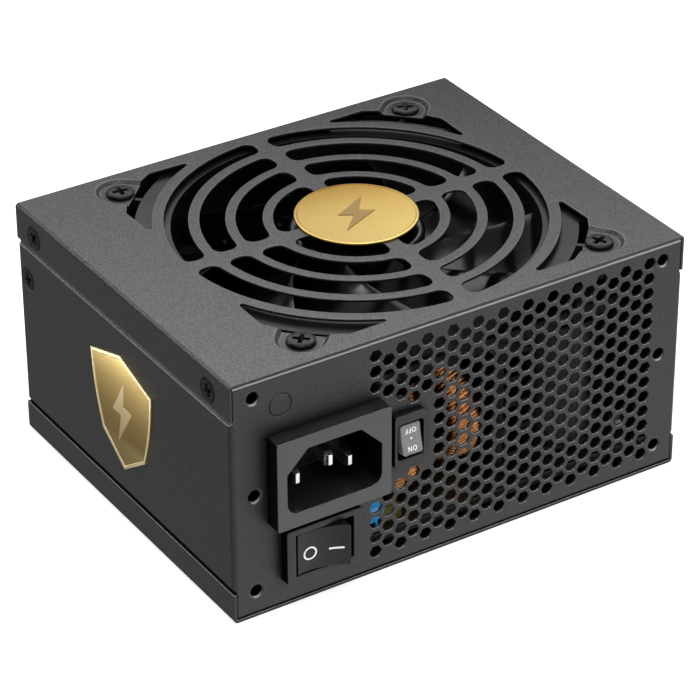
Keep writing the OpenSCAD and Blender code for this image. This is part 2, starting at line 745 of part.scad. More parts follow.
// large choke on edge, its axis along X
module pfc_choke_core() {
  color("#3f4a3a") place() translate(pfc_centre) rotate([0, 90, 0])
    translate([0, 0, -3.5]) tube(12.75, 7.05, 7);
}
module pfc_choke_winding() {
  color("#b5622b") place() {
    translate(pfc_centre) rotate([0, 90, 0]) turns(choke_turns, 7, 12.8, 7.1, 1.2, 1.15);
    for (y = [-2.98, 2.98]) translate([pfc_centre[0], pfc_centre[1] + y, board_top])
      cylinder(r = 0.55, h = pfc_centre[2] - 13.1 - board_top);
  }
}
// two smaller chokes on edge
module filter_choke_cores() {
  color("#33402f") place() at_filters() translate([0, 0, filter_z]) rotate([0, 90, 0])
    translate([0, 0, -3.9]) tube(8.5, 4.8, 7.8);
}
module filter_choke_windings() {
  color("#b5622b") place() at_filters() {
    translate([0, 0, filter_z]) rotate([0, 90, 0]) turns(16, 4.75, 8.6, 7.9, 1, 1.1);
    for (y = [-3.48, 3.48]) translate([0, y, board_top])
      cylinder(r = 0.5, h = filter_z - 8.3 - board_top);
  }
}
module output_choke() {
  color("#b5622b") on_board() translate([39.5, 59.5, 4.95]) turns(16, 4.8, 8.6, 7.8, 1, 1.2);
}

// ---------- other components, z from the board's upper face ----------
// upright disc facing along Y, on two legs
module disc_part(x, y, radius, thick, lift) {
  y_rod(x, lift + radius, radius, y, y + thick);
  for (s = [-1, 1]) translate([x + s * radius * 0.6, y + thick / 2, 0])
    cylinder(r = 0.35, h = lift + radius);
}
module y_capacitors() {
  color("#1478c8") on_board() {
    disc_part(39.4, 3.2, 3.4, 3, 3.2);
    disc_part(40.7, 24, 3.7, 3, 0.6);
  }
}
module film_capacitor() {
  color("#8a7a28") on_board() along_y(5.8, 8.3) round_rect([43.5, 0], [49.2, 4.2], 0.8);
}
module x_capacitor() {
  color("#c9a21e") on_board() along_y(29, 38) round_rect([13, 0], [31, 15], 0.8);
}
module fuse() {
  color("#b9b9b2") on_board() {
    y_rod(8.5, 2.8, 2.4, 36, 50);
    for (y = [33, 49.9]) y_rod(8.5, 2.8, 2.7, y, y + 3.1);
  }
}
module varistor() { color("#2a4fa0") on_board() disc_part(36, 30, 4.6, 3, 1); }
module relay() { color("#2b2b2b") on_board() box([8, 60, 0], [20, 78, 14]); }
module bridge_rectifier() {
  color("#1c1c1c") on_board() {
    box([72.4, 61.6, 6], [76.4, 76.6, 25]);
    for (i = [0:3]) let (y = 63.4 + i * 3.8) box([73.9, y, 0], [74.7, y + 1, 6.1]);
  }
}
module power_transistors() {
  color("#1c1c1c") on_board() for (y = [38.6, 50]) {
    box([71.9, y, 8], [76.4, y + 10.2, 24]);
    for (i = [0:2]) let (leg_y = y + 2.1 + i * 2.54)
      box([73.7, leg_y, 0], [74.4, leg_y + 0.9, 8.1]);
  }
}
module primary_heatsink() {
  color("#9a9da1") on_board() union() {
    box([76.5, 8, 0], [79.5, 77, 34]);
    for (z = [4:7:32]) box([79.4, 8, z], [87.8, 34, z + 1.4]);
  }
}
module secondary_heatsink() {
  color("#9a9da1") on_board() union() {
    box([50, 66, 0], [53, 90, 32]);
    for (y = [67:7:88]) box([52.9, y, 4], [59, y + 1.4, 32]);
  }
}
// can with a sunk top and a groove near its foot
module bulk_capacitor() {
  color("#262628") on_board() translate([101, 20, 0]) difference() {
    cylinder(r = 12.4, h = 35);
    translate([0, 0, 34.6]) cylinder(r = 11, h = 1);
    translate([0, 0, 1.6]) tube(13, 11.9, 1);
  }
}
module output_capacitors() {
  color("#23303f") on_board()
    at_points([[28, 76], [38, 76], [28, 86], [38, 86], [62, 58], [63.6, 84]]) difference() {
      cylinder(r = 4, h = 18);
      translate([0, 0, 17.6]) cylinder(r = 3.4, h = 1);
      translate([0, 0, 1.2]) tube(5, 3.7, 0.8);
    }
}
module transformer_core() {
  color("#3a3b3e") on_board() difference() {
    box([88, 41, 3], [111, 65, 30]);
    box([87, 46, 8.5], [112, 60, 24.5]);
  }
}
module transformer_winding() {
  color("#c4a637") on_board() union() {
    box([90.5, 46.1, 8.6], [108.5, 59.9, 24.4]);
    // bobbin ends, with legs outside the core: low and high x of the end, then of the leg
    for (x = [[86, 90.6, 86, 87.9], [108.4, 112.7, 111.1, 112.7]]) {
      box([x[0], 48, 8.6], [x[1], 58, 24.4]);
      box([x[2], 48, 0], [x[3], 58, 9]);
    }
  }
}
module standby_transformer() {
  color("#c4a637") on_board() {
    box([90, 72, 0], [106, 86, 14]);
    box([93, 72, 13.9], [103, 86, 17]);
  }
}
// upright board with four chips on its right face
module control_board() {
  color("#2c6b3f") on_board() {
    box([82, 67, 0], [83.2, 89, 22]);
    for (z = [6, 13], y = [70, 80]) box([83.1, y, z], [84.6, y + 6, z + 5]);
  }
}

// ---------- output sockets ----------
socket_back = case_d - 5.6;

// centre of every contact, in two rows
module at_contacts(sockets) {
  for (s = sockets, i = [0:s[2] - 1], j = [0, 1])
    translate([s[0] + 3.4 + i * cell_pitch, 0, s[1] + 2.9 + j * cell_pitch]) children();
}
module socket_bodies(sockets) {
  for (s = sockets) difference() {
    box([s[0], socket_back, s[1]], [s[0] + socket_w(s[2]), case_d, s[1] + socket_h]);
    at_contacts([s]) {
      slab(3.3, 3.3, case_d - 4.4, case_d + 1);
      y_rod(0, 0, 0.6, case_d - 6, case_d - 4);
    }
  }
}
module socket_board() {
  color("#2c6b3f") place() difference() {
    box([5, socket_back - 1.6, board_top + 1], [119, socket_back, 46]);
    at_contacts(all_sockets) y_rod(0, 0, 0.6, case_d - 8, case_d - 5);
  }
}
module motherboard_socket() { color("#161617") place() socket_bodies(board_sockets); }
module eight_pin_sockets() { color("#161617") place() socket_bodies(eight_sockets); }
module peripheral_sockets() { color("#161617") place() socket_bodies(six_sockets); }
module socket_terminals() {
  color("#c8a862") place() at_contacts(all_sockets)
    y_rod(0, 0, 0.5, case_d - 8.4, case_d - 1.2);
}

top_cover();
bottom_cover();
chassis();
front_panel();
grille_medallion();
side_badge();
cover_screws();
front_panel_screws();
bottom_screws();
fan_screws();
ac_inlet_body();
ac_pins();
ac_wires();
power_switch_frame();
power_rocker();
power_switch_terminals();
fan_mode_switch_frame();
fan_mode_rocker();
fan_mode_terminals();
switch_wires();
fan_frame();
fan_rotor();
fan_shaft();
fan_magnet();
fan_bearing();
fan_stator();
fan_coils();
fan_circuit_board();
fan_cable();
fan_connector();
insulation_sheet();
board_standoffs();
board_screws();
main_board();
pfc_choke_core();
pfc_choke_winding();
filter_choke_cores();
filter_choke_windings();
y_capacitors();
film_capacitor();
x_capacitor();
fuse();
varistor();
relay();
bridge_rectifier();
power_transistors();
primary_heatsink();
secondary_heatsink();
bulk_capacitor();
transformer_core();
transformer_winding();
standby_transformer();
output_choke();
output_capacitors();
control_board();
socket_board();
motherboard_socket();
eight_pin_sockets();
peripheral_sockets();
socket_terminals();
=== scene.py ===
"""Compact computer power supply with a fan in its top face.

The fan blows along Z and its grille faces +Z. The panel with the rocker switches faces -Y,
the shield-shaped badge is on the -X side. The frame is in metres; shapes are drawn in local
millimetres and placed with to_frame().
"""

import json
import math

import bmesh
import bpy
import numpy as np
from mathutils import Matrix, Vector


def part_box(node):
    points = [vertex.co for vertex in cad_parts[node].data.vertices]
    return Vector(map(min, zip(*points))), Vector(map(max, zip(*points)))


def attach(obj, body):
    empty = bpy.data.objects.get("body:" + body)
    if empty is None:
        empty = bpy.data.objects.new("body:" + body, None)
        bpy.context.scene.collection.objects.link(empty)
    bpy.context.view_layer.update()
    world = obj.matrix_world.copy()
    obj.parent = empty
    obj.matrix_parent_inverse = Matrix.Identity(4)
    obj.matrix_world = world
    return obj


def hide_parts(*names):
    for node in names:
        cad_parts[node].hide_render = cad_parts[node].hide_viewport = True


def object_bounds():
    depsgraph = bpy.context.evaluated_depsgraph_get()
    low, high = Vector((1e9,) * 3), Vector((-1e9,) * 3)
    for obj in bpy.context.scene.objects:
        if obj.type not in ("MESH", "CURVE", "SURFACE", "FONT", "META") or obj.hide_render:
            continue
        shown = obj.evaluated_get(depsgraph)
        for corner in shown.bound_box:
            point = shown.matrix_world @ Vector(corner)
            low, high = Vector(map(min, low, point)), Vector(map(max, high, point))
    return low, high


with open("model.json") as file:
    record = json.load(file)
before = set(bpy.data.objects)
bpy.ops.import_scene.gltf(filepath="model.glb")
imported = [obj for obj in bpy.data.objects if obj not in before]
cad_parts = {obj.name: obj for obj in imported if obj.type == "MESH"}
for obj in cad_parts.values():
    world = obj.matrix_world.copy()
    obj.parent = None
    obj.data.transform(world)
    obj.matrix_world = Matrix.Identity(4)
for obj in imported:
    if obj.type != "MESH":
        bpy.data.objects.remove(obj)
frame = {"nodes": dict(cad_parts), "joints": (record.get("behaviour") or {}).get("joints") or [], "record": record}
cad_lo, cad_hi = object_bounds()
NODES = frame["nodes"]
JOINT = {joint["name"]: joint for joint in frame["joints"]}
SLOT = {piece["node"]: piece["material_slot"] for piece in frame["record"]["subparts"]}

MM = 0.001
X, Y, Z = range(3)
# low corner of the case, and its extent along X and Y in metres
CASE_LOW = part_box("bottom_cover")[0].copy()
CASE_WIDTH, CASE_DEPTH = 0.125, 0.1


# ---------------------------------------------------------------- shader nodes
NOISE_RANGE = (0.3, 0.7)  # the values a noise mostly takes


def scale3(color, factor):
    return tuple(min(1.0, channel * factor) for channel in color)


class Graph:
    """A shader tree. Any value may be a number, a tuple or another node's output."""

    def __init__(self, owner, output, shader, coords):
        owner.use_nodes = True
        self.tree = owner.node_tree
        self.tree.nodes.clear()
        out = self.tree.nodes.new(output)
        self.shader = self.tree.nodes.new(shader)
        self.tree.links.new(self.shader.outputs[0], out.inputs[0])
        self.coords = self.tree.nodes.new("ShaderNodeTexCoord").outputs[coords]

    def put(self, value, socket):
        if isinstance(value, bpy.types.NodeSocket):
            self.tree.links.new(value, socket)
        elif isinstance(value, tuple) and len(value) == 3 and len(socket.default_value) == 4:
            socket.default_value = value + (1.0,)
        else:
            socket.default_value = value

    def node(self, kind, inputs, **settings):
        """inputs: values by socket name or index. Settings go first, as they pick the sockets."""
        node = self.tree.nodes.new(kind)
        for name, value in settings.items():
            setattr(node, name, value)
        for key, value in inputs.items():
            self.put(value, node.inputs[key])
        return node

    def math(self, operation, a, b=0.0):
        return self.node("ShaderNodeMath", {0: a, 1: b}, operation=operation).outputs[0]

    def times(self, a, b):
        return self.math("MULTIPLY", a, b)

    def plus(self, a, b):
        return self.math("ADD", a, b)

    def span(self, value, reach, to=(0.0, 1.0)):
        """Maps the range reach onto the range to, clamped."""
        inputs = {0: value, 1: reach[0], 2: reach[1], 3: to[0], 4: to[1]}
        return self.node("ShaderNodeMapRange", inputs).outputs[0]

    def split(self, vector):
        return self.node("ShaderNodeSeparateXYZ", {0: vector}).outputs


class Material(Graph):
    """A Principled material, textured in the object's own metres."""

    SOCKETS = {
        "color": "Base Color",
        "metal": "Metallic",
        "rough": "Roughness",
        "normal": "Normal",
        "spec": "Specular IOR Level",
        "coat": "Coat Weight",
        "coat_rough": "Coat Roughness",
        "glow": "Emission Color",
        "glow_strength": "Emission Strength",
    }

    def __init__(self, name):
        self.material = bpy.data.materials.new(name)
        super().__init__(
            self.material, "ShaderNodeOutputMaterial", "ShaderNodeBsdfPrincipled", "Object")

    def finish(self, **values):
        for key, value in values.items():
            self.put(value, self.shader.inputs[self.SOCKETS[key]])
        return self.material

    def noise(self, scale, detail=2.0, rough=0.5, vector=None):
        inputs = {
            "Vector": self.coords if vector is None else vector,
            "Scale": scale,
            "Detail": detail,
            "Roughness": rough,
        }
        return self.node("ShaderNodeTexNoise", inputs).outputs[0]

    def voronoi(self, scale, feature="F1"):
        inputs = {"Vector": self.coords, "Scale": scale}
        return self.node("ShaderNodeTexVoronoi", inputs, feature=feature).outputs["Distance"]

    def stretched(self, factors):
        inputs = {0: self.coords, 1: factors}
        return self.node("ShaderNodeVectorMath", inputs, operation="MULTIPLY").outputs[0]

    def ramp(self, value, stops):
        node = self.tree.nodes.new("ShaderNodeValToRGB")
        elements = node.color_ramp.elements
        while len(elements) < len(stops):
            elements.new(0.5)
        for element, (position, color) in zip(elements, stops):
            element.position = position
            element.color = (*color, 1.0)
        self.put(value, node.inputs[0])
        return node.outputs[0]

    def shades(self, noise, base, low, high):
        """The base colour, from low times to high times its strength."""
        colors = (scale3(base, low), scale3(base, high))
        return self.ramp(noise, list(zip(NOISE_RANGE, colors)))

    def greys(self, noise):
        """Greys either side of the middle, to overlay on a colour."""
        return self.shades(noise, (1, 1, 1), low=0.42, high=0.58)

    def mix(self, amount, a, b, blend="MIX"):
        inputs = {0: amount, 6: a, 7: b}
        node = self.node("ShaderNodeMix", inputs, data_type="RGBA", blend_type=blend)
        return node.outputs[2]

    def axis(self, i):
        return self.split(self.coords)[i]

    def geometry(self, output):
        return self.node("ShaderNodeNewGeometry", {}).outputs[output]

    def normal_axis(self, i):
        return self.split(self.geometry("Normal"))[i]

    def edges(self, reach=(0.53, 0.66)):
        """1 on outer edges, 0 elsewhere."""
        return self.span(self.geometry("Pointiness"), reach)

    def open_space(self, distance):
        """How open a spot is: 1 on a flat, less in corners and recesses."""
        node = self.node("ShaderNodeAmbientOcclusion", {"Distance": distance}, samples=4)
        return node.outputs["AO"]

    def bump(self, height, strength, distance):
        inputs = {"Strength": strength, "Distance": distance, "Height": height}
        return self.node("ShaderNodeBump", inputs).outputs[0]

    def tilt_up(self, normal, amount):
        """Leans a normal upwards, as on a crowned face."""
        lift = self.node("ShaderNodeCombineXYZ", {2: amount}).outputs[0]
        inputs = {0: normal, 1: lift}
        total = self.node("ShaderNodeVectorMath", inputs, operation="ADD").outputs[0]
        return self.node("ShaderNodeVectorMath", {0: total}, operation="NORMALIZE").outputs[0]


# ------------------------------------------------------------------- materials
COAT_BLACK = (0.0085, 0.0085, 0.0092)


def powder_coat(name, edge=None, bend=None):
    """Satin black powder coat, grain about 0.3 mm.

    edge: colour of a painted highlight on outer edges that face up; bend: colour of a painted highlight along a
    rolled top.
    """
    mat = Material(name)
    grain = mat.noise(scale=3000, rough=0.6)
    fine = mat.noise(scale=5600, detail=1.0)
    low, high = NOISE_RANGE
    color = mat.ramp(grain, [
        (low, scale3(COAT_BLACK, 0.5)), (0.5, COAT_BLACK), (high, scale3(COAT_BLACK, 2.2))])
    cloud = mat.noise(scale=22, detail=1.0)
    color = mat.mix(mat.span(cloud, NOISE_RANGE, to=(0.0, 0.12)), color, scale3(COAT_BLACK, 1.5))
    openness = mat.open_space(distance=0.0024)
    if edge:
        # painted highlight: outer edges lighter where they face up and lie in the open, broken up by noise
        lit = mat.times(
            mat.span(mat.normal_axis(Z), reach=(0.25, 0.62), to=(0.07, 1.0)),
            mat.span(openness, reach=(0.4, 0.8)))
        patchy = mat.span(mat.noise(scale=900, rough=0.6), reach=(0.3, 0.65), to=(0.6, 1.0))
        color = mat.mix(mat.times(lit, patchy), color, edge)
    if bend:
        # painted highlight along the rolled top, where it faces up and towards -Y
        up, along = mat.normal_axis(Z), mat.normal_axis(Y)
        roll = mat.times(
            mat.span(up, reach=(0.40, 0.58)),
            mat.span(up, reach=(0.82, 0.92), to=(1.0, 0.0)))
        roll = mat.times(roll, mat.span(along, reach=(-0.5, -0.3), to=(1.0, 0.0)))
        color = mat.mix(roll, color, bend)
    rough = mat.span(grain, NOISE_RANGE, to=(0.31, 0.43))
    height = mat.plus(grain, mat.times(fine, 0.4))
    normal = mat.bump(height, strength=0.7, distance=0.00012)
    # grains shade each other, so the sheen breaks into specks; corners keep the light out
    speck = mat.span(grain, reach=(0.34, 0.66), to=(-1.0, 1.0))
    up = mat.span(mat.normal_axis(Z), reach=(0.0, 1.0))
    strength = mat.span(up, reach=(0.0, 1.0), to=(0.28, 0.60))
    spec = mat.times(mat.plus(1.0, mat.times(speck, strength)), 0.5)
    spec = mat.times(spec, mat.span(openness, reach=(0.45, 0.95), to=(0.15, 1.0)))
    # painted sheen: upward faces get more specular towards the case's -X -Y corner, a painted light gradient
    along = mat.plus(
        mat.span(mat.axis(Y), reach=(CASE_LOW.y, CASE_LOW.y + CASE_DEPTH), to=(0.0, 0.52)),
        mat.span(mat.axis(X), reach=(CASE_LOW.x, CASE_LOW.x + CASE_WIDTH), to=(0.0, 0.48)))
    sheen = mat.span(along, reach=(0.0, 1.0), to=(1.55, 0.46))
    spec = mat.times(spec, mat.plus(1.0, mat.times(up, mat.math("SUBTRACT", sheen, 1.0))))
    return mat.finish(color=color, rough=rough, normal=normal, spec=spec)


def moulded(name, base, rough=0.45, grain_scale=2400, bump=0.22, spec=0.5, vary=0.14,
            shade=False):
    """Moulded plastic with a fine spark-eroded grain, and edges that are a little glossier and lighter by a
    painted highlight.
    """
    mat = Material(name)
    grain = mat.noise(grain_scale, rough=0.55)
    color = mat.shades(grain, base, low=1 - vary, high=1 + vary)
    flow = mat.noise(scale=70)
    color = mat.mix(0.35, color, mat.greys(flow), "OVERLAY")
    # outer edges lighter: painted highlight; they are also a little glossier
    edge = mat.edges(reach=(0.52, 0.64))
    color = mat.mix(mat.times(edge, 0.35), color, scale3(base, 1.7))
    roughness = mat.math(
        "SUBTRACT",
        mat.span(flow, NOISE_RANGE, to=(rough - 0.05, rough + 0.06)),
        mat.times(edge, 0.08))
    if shade:
        # painted shade: walls facing -X get a darker colour and less specular, and corners keep the light out
        side = (-0.9, -0.4)
        side_shade_spec = mat.times(
            mat.span(mat.normal_axis(X), side, to=(0.12, 1.0)),
            mat.span(mat.open_space(distance=0.003), reach=(0.4, 0.9), to=(0.2, 1.0)))
        spec = mat.times(side_shade_spec, spec)
        wall = mat.span(mat.normal_axis(X), side, to=(1.0, 0.0))
        color = mat.mix(wall, color, scale3(base, 0.3))
    normal = mat.bump(grain, bump, distance=0.00007)
    return mat.finish(color=color, rough=roughness, normal=normal, spec=spec)


def glossy(name, base, rough=0.16, coat=0.5, spec=0.5):
    mat = Material(name)
    flow = mat.noise(scale=90, detail=3.0)
    color = mat.shades(flow, base, low=0.8, high=1.2)
    fine = mat.noise(scale=900)
    roughness = mat.span(flow, NOISE_RANGE, to=(rough, rough + 0.1))
    normal = mat.bump(fine, strength=0.06, distance=0.00008)
    return mat.finish(
        color=color, rough=roughness, normal=normal, coat=coat, coat_rough=0.12, spec=spec)


def metal(name, base, rough=0.3, stretch=(1, 1, 1), grain_scale=900, bump=0.12, dark=0.75,
          tarnish=0.25):
    """Metal with drawn or brushed grain; the grain runs along the axis stretched least."""
    mat = Material(name)
    grain = mat.noise(grain_scale, detail=3.0, rough=0.6, vector=mat.stretched(stretch))
    spots = mat.noise(scale=180, detail=3.0, rough=0.6)
    color = mat.shades(grain, base, low=dark, high=1)
    spotted = mat.times(mat.span(spots, reach=(0.5, 0.75)), tarnish)
    color = mat.mix(spotted, color, scale3(base, 0.55))
    # outer edges lighter: painted highlight
    color = mat.mix(mat.times(mat.edges(), 0.4), color, scale3(base, 1.25))
    roughness = mat.span(grain, NOISE_RANGE, to=(rough - 0.06, rough + 0.1))
    normal = mat.bump(grain, bump, distance=0.00005)
    return mat.finish(color=color, metal=1.0, rough=roughness, normal=normal)


def gold(name, base=(0.86, 0.60, 0.235), rough=0.30, heights=None, painted_fade=None, crown=None,
         depth=None, grain_weight=1.0):
    """Satin gold: fine grain with slow bands of tone.

    heights: (low z, high z) over which painted_fade (ramp stops) paints a light gradient and crown (from, to)
    leans its normals up; depth: (centre, reach, colour) paints shade, darker towards +Y.
    """
    mat = Material(name)
    grain = mat.noise(scale=3200, rough=0.6)
    band = mat.noise(scale=60)
    if painted_fade:
        color = mat.ramp(mat.span(mat.axis(Z), heights), painted_fade)
    else:
        color = mat.shades(grain, base, low=0.92, high=1.05)
    color = mat.mix(0.35 * grain_weight, color, mat.greys(grain), "OVERLAY")
    warm = mat.ramp(band, [(0.3, (0.45, 0.44, 0.42)), (0.7, (0.56, 0.56, 0.56))])
    color = mat.mix(0.4, color, warm, "OVERLAY")
    # outer edges lighter: painted highlight
    color = mat.mix(mat.times(mat.edges(), 0.5), color, scale3(base, 1.35))
    if depth:
        # painted shade: the colour darkens towards +Y
        centre, reach, far = depth
        toward_x, toward_y = 0.30, 0.953  # the direction of the tint
        along = mat.plus(
            mat.times(mat.axis(X), toward_x), mat.times(mat.axis(Y), toward_y))
        middle = toward_x * centre.x + toward_y * centre.y
        color = mat.mix(mat.span(along, (middle - reach, middle + reach)), color, far)
    roughness = mat.span(grain, NOISE_RANGE, to=(rough - 0.04, rough + 0.10))
    normal = mat.bump(grain, strength=0.12 * grain_weight, distance=0.00004)
    if crown:
        normal = mat.tilt_up(normal, mat.span(mat.axis(Z), heights, to=crown))
    return mat.finish(color=color, metal=1.0, rough=roughness, normal=normal)


def enamelled(name, base, rough):
    """Lacquered copper wire: mottled, with painted shade where the turns face sideways."""
    mat = Material(name)
    grain = mat.noise(scale=700, detail=3.0, rough=0.6)
    spots = mat.noise(scale=260, rough=0.6)
    color = mat.shades(grain, base, low=0.8, high=1)
    spotted = mat.times(mat.span(spots, reach=(0.5, 0.75)), 0.3)
    color = mat.mix(spotted, color, scale3(base, 0.5))
    # painted shade: turns facing along X are darker
    sideways = mat.math("ABSOLUTE", mat.normal_axis(X))
    side = mat.span(sideways, reach=(0.35, 0.8), to=(0.0, 0.85))
    color = mat.mix(side, color, scale3(base, 0.12))
    roughness = mat.span(grain, NOISE_RANGE, to=(rough - 0.04, rough + 0.08))
    normal = mat.bump(grain, strength=0.06, distance=0.00005)
    return mat.finish(color=color, metal=1.0, rough=roughness, normal=normal)


def circuit_board(name, mask, trace):
    """Solder mask over copper tracks, with round pads."""
    mat = Material(name)
    cell = mat.voronoi(scale=260, feature="DISTANCE_TO_EDGE")
    tracks = mat.span(cell, reach=(0.03, 0.07), to=(1.0, 0.0))
    pads = mat.span(mat.voronoi(scale=330), reach=(0.10, 0.16), to=(1.0, 0.0))
    grain = mat.noise(scale=1500)
    color = mat.shades(grain, mask, low=0.85, high=1.15)
    color = mat.mix(mat.times(tracks, 0.6), color, trace)
    color = mat.mix(pads, color, (0.10, 0.10, 0.09))
    rough = mat.span(pads, reach=(0, 1), to=(0.38, 0.25))
    height = mat.plus(tracks, pads)
    return mat.finish(
        color=color, rough=rough, metal=mat.times(pads, 0.8),
        normal=mat.bump(height, strength=0.25, distance=0.00006))


# most keys are the frame's material slots
LOOK = {
    "case_black": powder_coat("case_powder_coat"),
    # panel_edge, panel_coat and cover_edge carry painted highlights: on upward-facing edges, and along the
    # chassis' rolled top
    "panel_edge": powder_coat("panel_edge_painted_highlight", edge=(0.30, 0.305, 0.31)),
    "panel_coat": powder_coat("panel_powder_coat", bend=(0.42, 0.425, 0.43)),
    "cover_edge": powder_coat("cover_edge_painted_highlight", edge=(0.075, 0.076, 0.078)),
    "badge_gold": gold("satin_gold"),
    "screw_black": moulded("black_oxide", (0.004, 0.004, 0.0045), rough=0.28,
                           grain_scale=1500, bump=0.10, spec=0.15),
    "inlet_plastic": moulded("inlet_plastic", (0.003, 0.0031, 0.0034), rough=0.40,
                             bump=0.3, spec=1.15, shade=True),
    "pin_metal": metal("nickel_plate", (0.86, 0.85, 0.82), rough=0.20,
                       stretch=(1, 0.08, 1), dark=0.9, tarnish=0.1),
    "wire_black": moulded("black_insulation", (0.015, 0.015, 0.016), rough=0.4),
    "wire_brown": moulded("brown_insulation", (0.20, 0.08, 0.035), rough=0.4),
    "switch_plastic": moulded("switch_plastic", (0.004, 0.004, 0.0043), rough=0.44,
                              bump=0.3, spec=0.55, shade=True),
    "rocker_black": moulded("rocker_plastic", (0.0035, 0.0035, 0.004), rough=0.38,
                            bump=0.10, spec=0.42),
    "rocker_grey": moulded("grey_rocker_plastic", (0.19, 0.19, 0.195), rough=0.5,
                           bump=0.35, vary=0.25),
    "terminal_brass": metal("tinned_brass", (0.72, 0.56, 0.28)),
    "fan_plastic": moulded("fan_frame_plastic", (0.004, 0.004, 0.0045), rough=0.36, spec=0.20),
    "blade_plastic": glossy("fan_blade_plastic", (0.002, 0.002, 0.0023), rough=0.15,
                            coat=0.0, spec=0.26),
    "bright_steel": metal("zinc_plate", (0.66, 0.66, 0.64)),
    "dark_ferrite": moulded("ferrite", (0.045, 0.047, 0.05), rough=0.6, grain_scale=1600,
                            bump=0.4),
    "bearing_bronze": metal("sintered_bronze", (0.55, 0.36, 0.17), rough=0.45, bump=0.3),
    "core_steel": metal("steel_laminations", (0.16, 0.165, 0.17), rough=0.38,
                        stretch=(0.1, 0.1, 4), grain_scale=1500, bump=0.4),
    "copper_wire": enamelled("enamelled_copper", (0.98, 0.45, 0.17), rough=0.24),
    "board_green": circuit_board("green_board", mask=(0.0015, 0.007, 0.0035),
                                 trace=(0.003, 0.012, 0.006)),
    "board_brown": circuit_board("olive_board", mask=(0.012, 0.011, 0.005),
                                 trace=(0.022, 0.02, 0.008)),
    "wire_red": moulded("red_insulation", (0.33, 0.02, 0.018), rough=0.4),
    "connector_white": moulded("nylon", (0.70, 0.68, 0.60)),
    "insulation_film": glossy("insulation_film", (0.55, 0.52, 0.40), rough=0.2, coat=0.4),
    "capacitor_blue": glossy("blue_epoxy", (0.012, 0.40, 0.98), rough=0.2),
    "capacitor_olive": glossy("olive_epoxy", (0.13, 0.10, 0.012), rough=0.30, coat=0.0,
                              spec=0.25),
    "capacitor_yellow": glossy("yellow_film_capacitor", (0.62, 0.42, 0.035), rough=0.3,
                               coat=0.3),
    "fuse_ceramic": glossy("fuse_ceramic", (0.62, 0.60, 0.55), rough=0.3, coat=0.3),
    "moulded_black": moulded("moulded_black", (0.010, 0.010, 0.011), spec=0.4),
    "heatsink_aluminium": metal("black_anodised", (0.022, 0.022, 0.023), rough=0.42,
                                stretch=(1, 0.05, 0.6), grain_scale=1400, tarnish=0.1),
    "capacitor_sleeve": glossy("capacitor_sleeve", (0.006, 0.006, 0.008), rough=0.26,
                               coat=0.0, spec=0.35),
    "tape_yellow": glossy("polyester_tape", (0.50, 0.34, 0.05), rough=0.28, coat=0.4),
    "marking_white": moulded("printed_white", (0.80, 0.80, 0.79), rough=0.5, bump=0.15,
                             vary=0.05),
    "can_end": metal("aluminium_can_end", (0.75, 0.75, 0.74), rough=0.28, tarnish=0.1),
    "rubber": moulded("rubber_bung", (0.03, 0.03, 0.03), rough=0.6),
}


# --------------------------------------------------------------- mesh building
# A shape is (vertices, faces) in local mm; a part is (vertices, faces, material) in the frame.
def build(name, parts, replaces=None, body="case", smooth_deg=40, bevel=None):
    """One object from its parts; edges sharper than smooth_deg stay hard, bevel is in mm."""
    mesh = bpy.data.meshes.new(name)
    verts, faces, materials, indices = [], [], [], []
    for part_verts, part_faces, material in parts:
        start = len(verts)
        verts.extend(tuple(point) for point in part_verts)
        if material not in materials:
            materials.append(material)
        for face in part_faces:
            faces.append([i + start for i in face])
            indices.append(materials.index(material))
    mesh.from_pydata(verts, [], faces)
    for material in materials:
        mesh.materials.append(material)
    mesh.polygons.foreach_set("material_index", indices)
    mesh.update()
    obj = bpy.data.objects.new(name, mesh)
    bpy.context.scene.collection.objects.link(obj)
    bm = bmesh.new()
    bm.from_mesh(mesh)
    bmesh.ops.recalc_face_normals(bm, faces=bm.faces)
    limit = math.radians(smooth_deg)
    for edge in bm.edges:
        edge.smooth = not (len(edge.link_faces) == 2 and edge.calc_face_angle(0.0) > limit)
    for face in bm.faces:
        face.smooth = True
    bm.to_mesh(mesh)
    bm.free()
    if bevel:
        modifier = obj.modifiers.new("bevel", "BEVEL")
        modifier.width = bevel * MM
        modifier.segments = 2
        modifier.limit_method = "ANGLE"
        modifier.angle_limit = math.radians(35)
        modifier.harden_normals = True
    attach(obj, body)
    if replaces:
        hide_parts(replaces)
    return obj


def moved(shape, matrix):
    verts, faces = shape
    return [matrix @ Vector(point) for point in verts], faces


def to_frame(origin, turn=Matrix.Identity(3)):
    """From local millimetres to frame metres at origin."""
    return Matrix.Translation(origin) @ turn.to_4x4() @ Matrix.Scale(MM, 4)


def part(shape, matrix, look):
    return (*moved(shape, matrix), LOOK[look])


def middle(lo, hi, z):
    return Vector(((lo.x + hi.x) / 2, (lo.y + hi.y) / 2, z))


def bands(rings, count, loop=False):
    """Quads joining successive closed rings of count points; loop joins the last to the first."""
    faces = []
    for ring in range(rings if loop else rings - 1):
        a, b = ring * count, (ring + 1) % rings * count
        for i in range(count):
            j = (i + 1) % count
            faces.append([a + i, a + j, b + j, b + i])
    return faces


def end_caps(rings, count):
    last = (rings - 1) * count
    return [list(range(count))[::-1], list(range(last, last + count))]


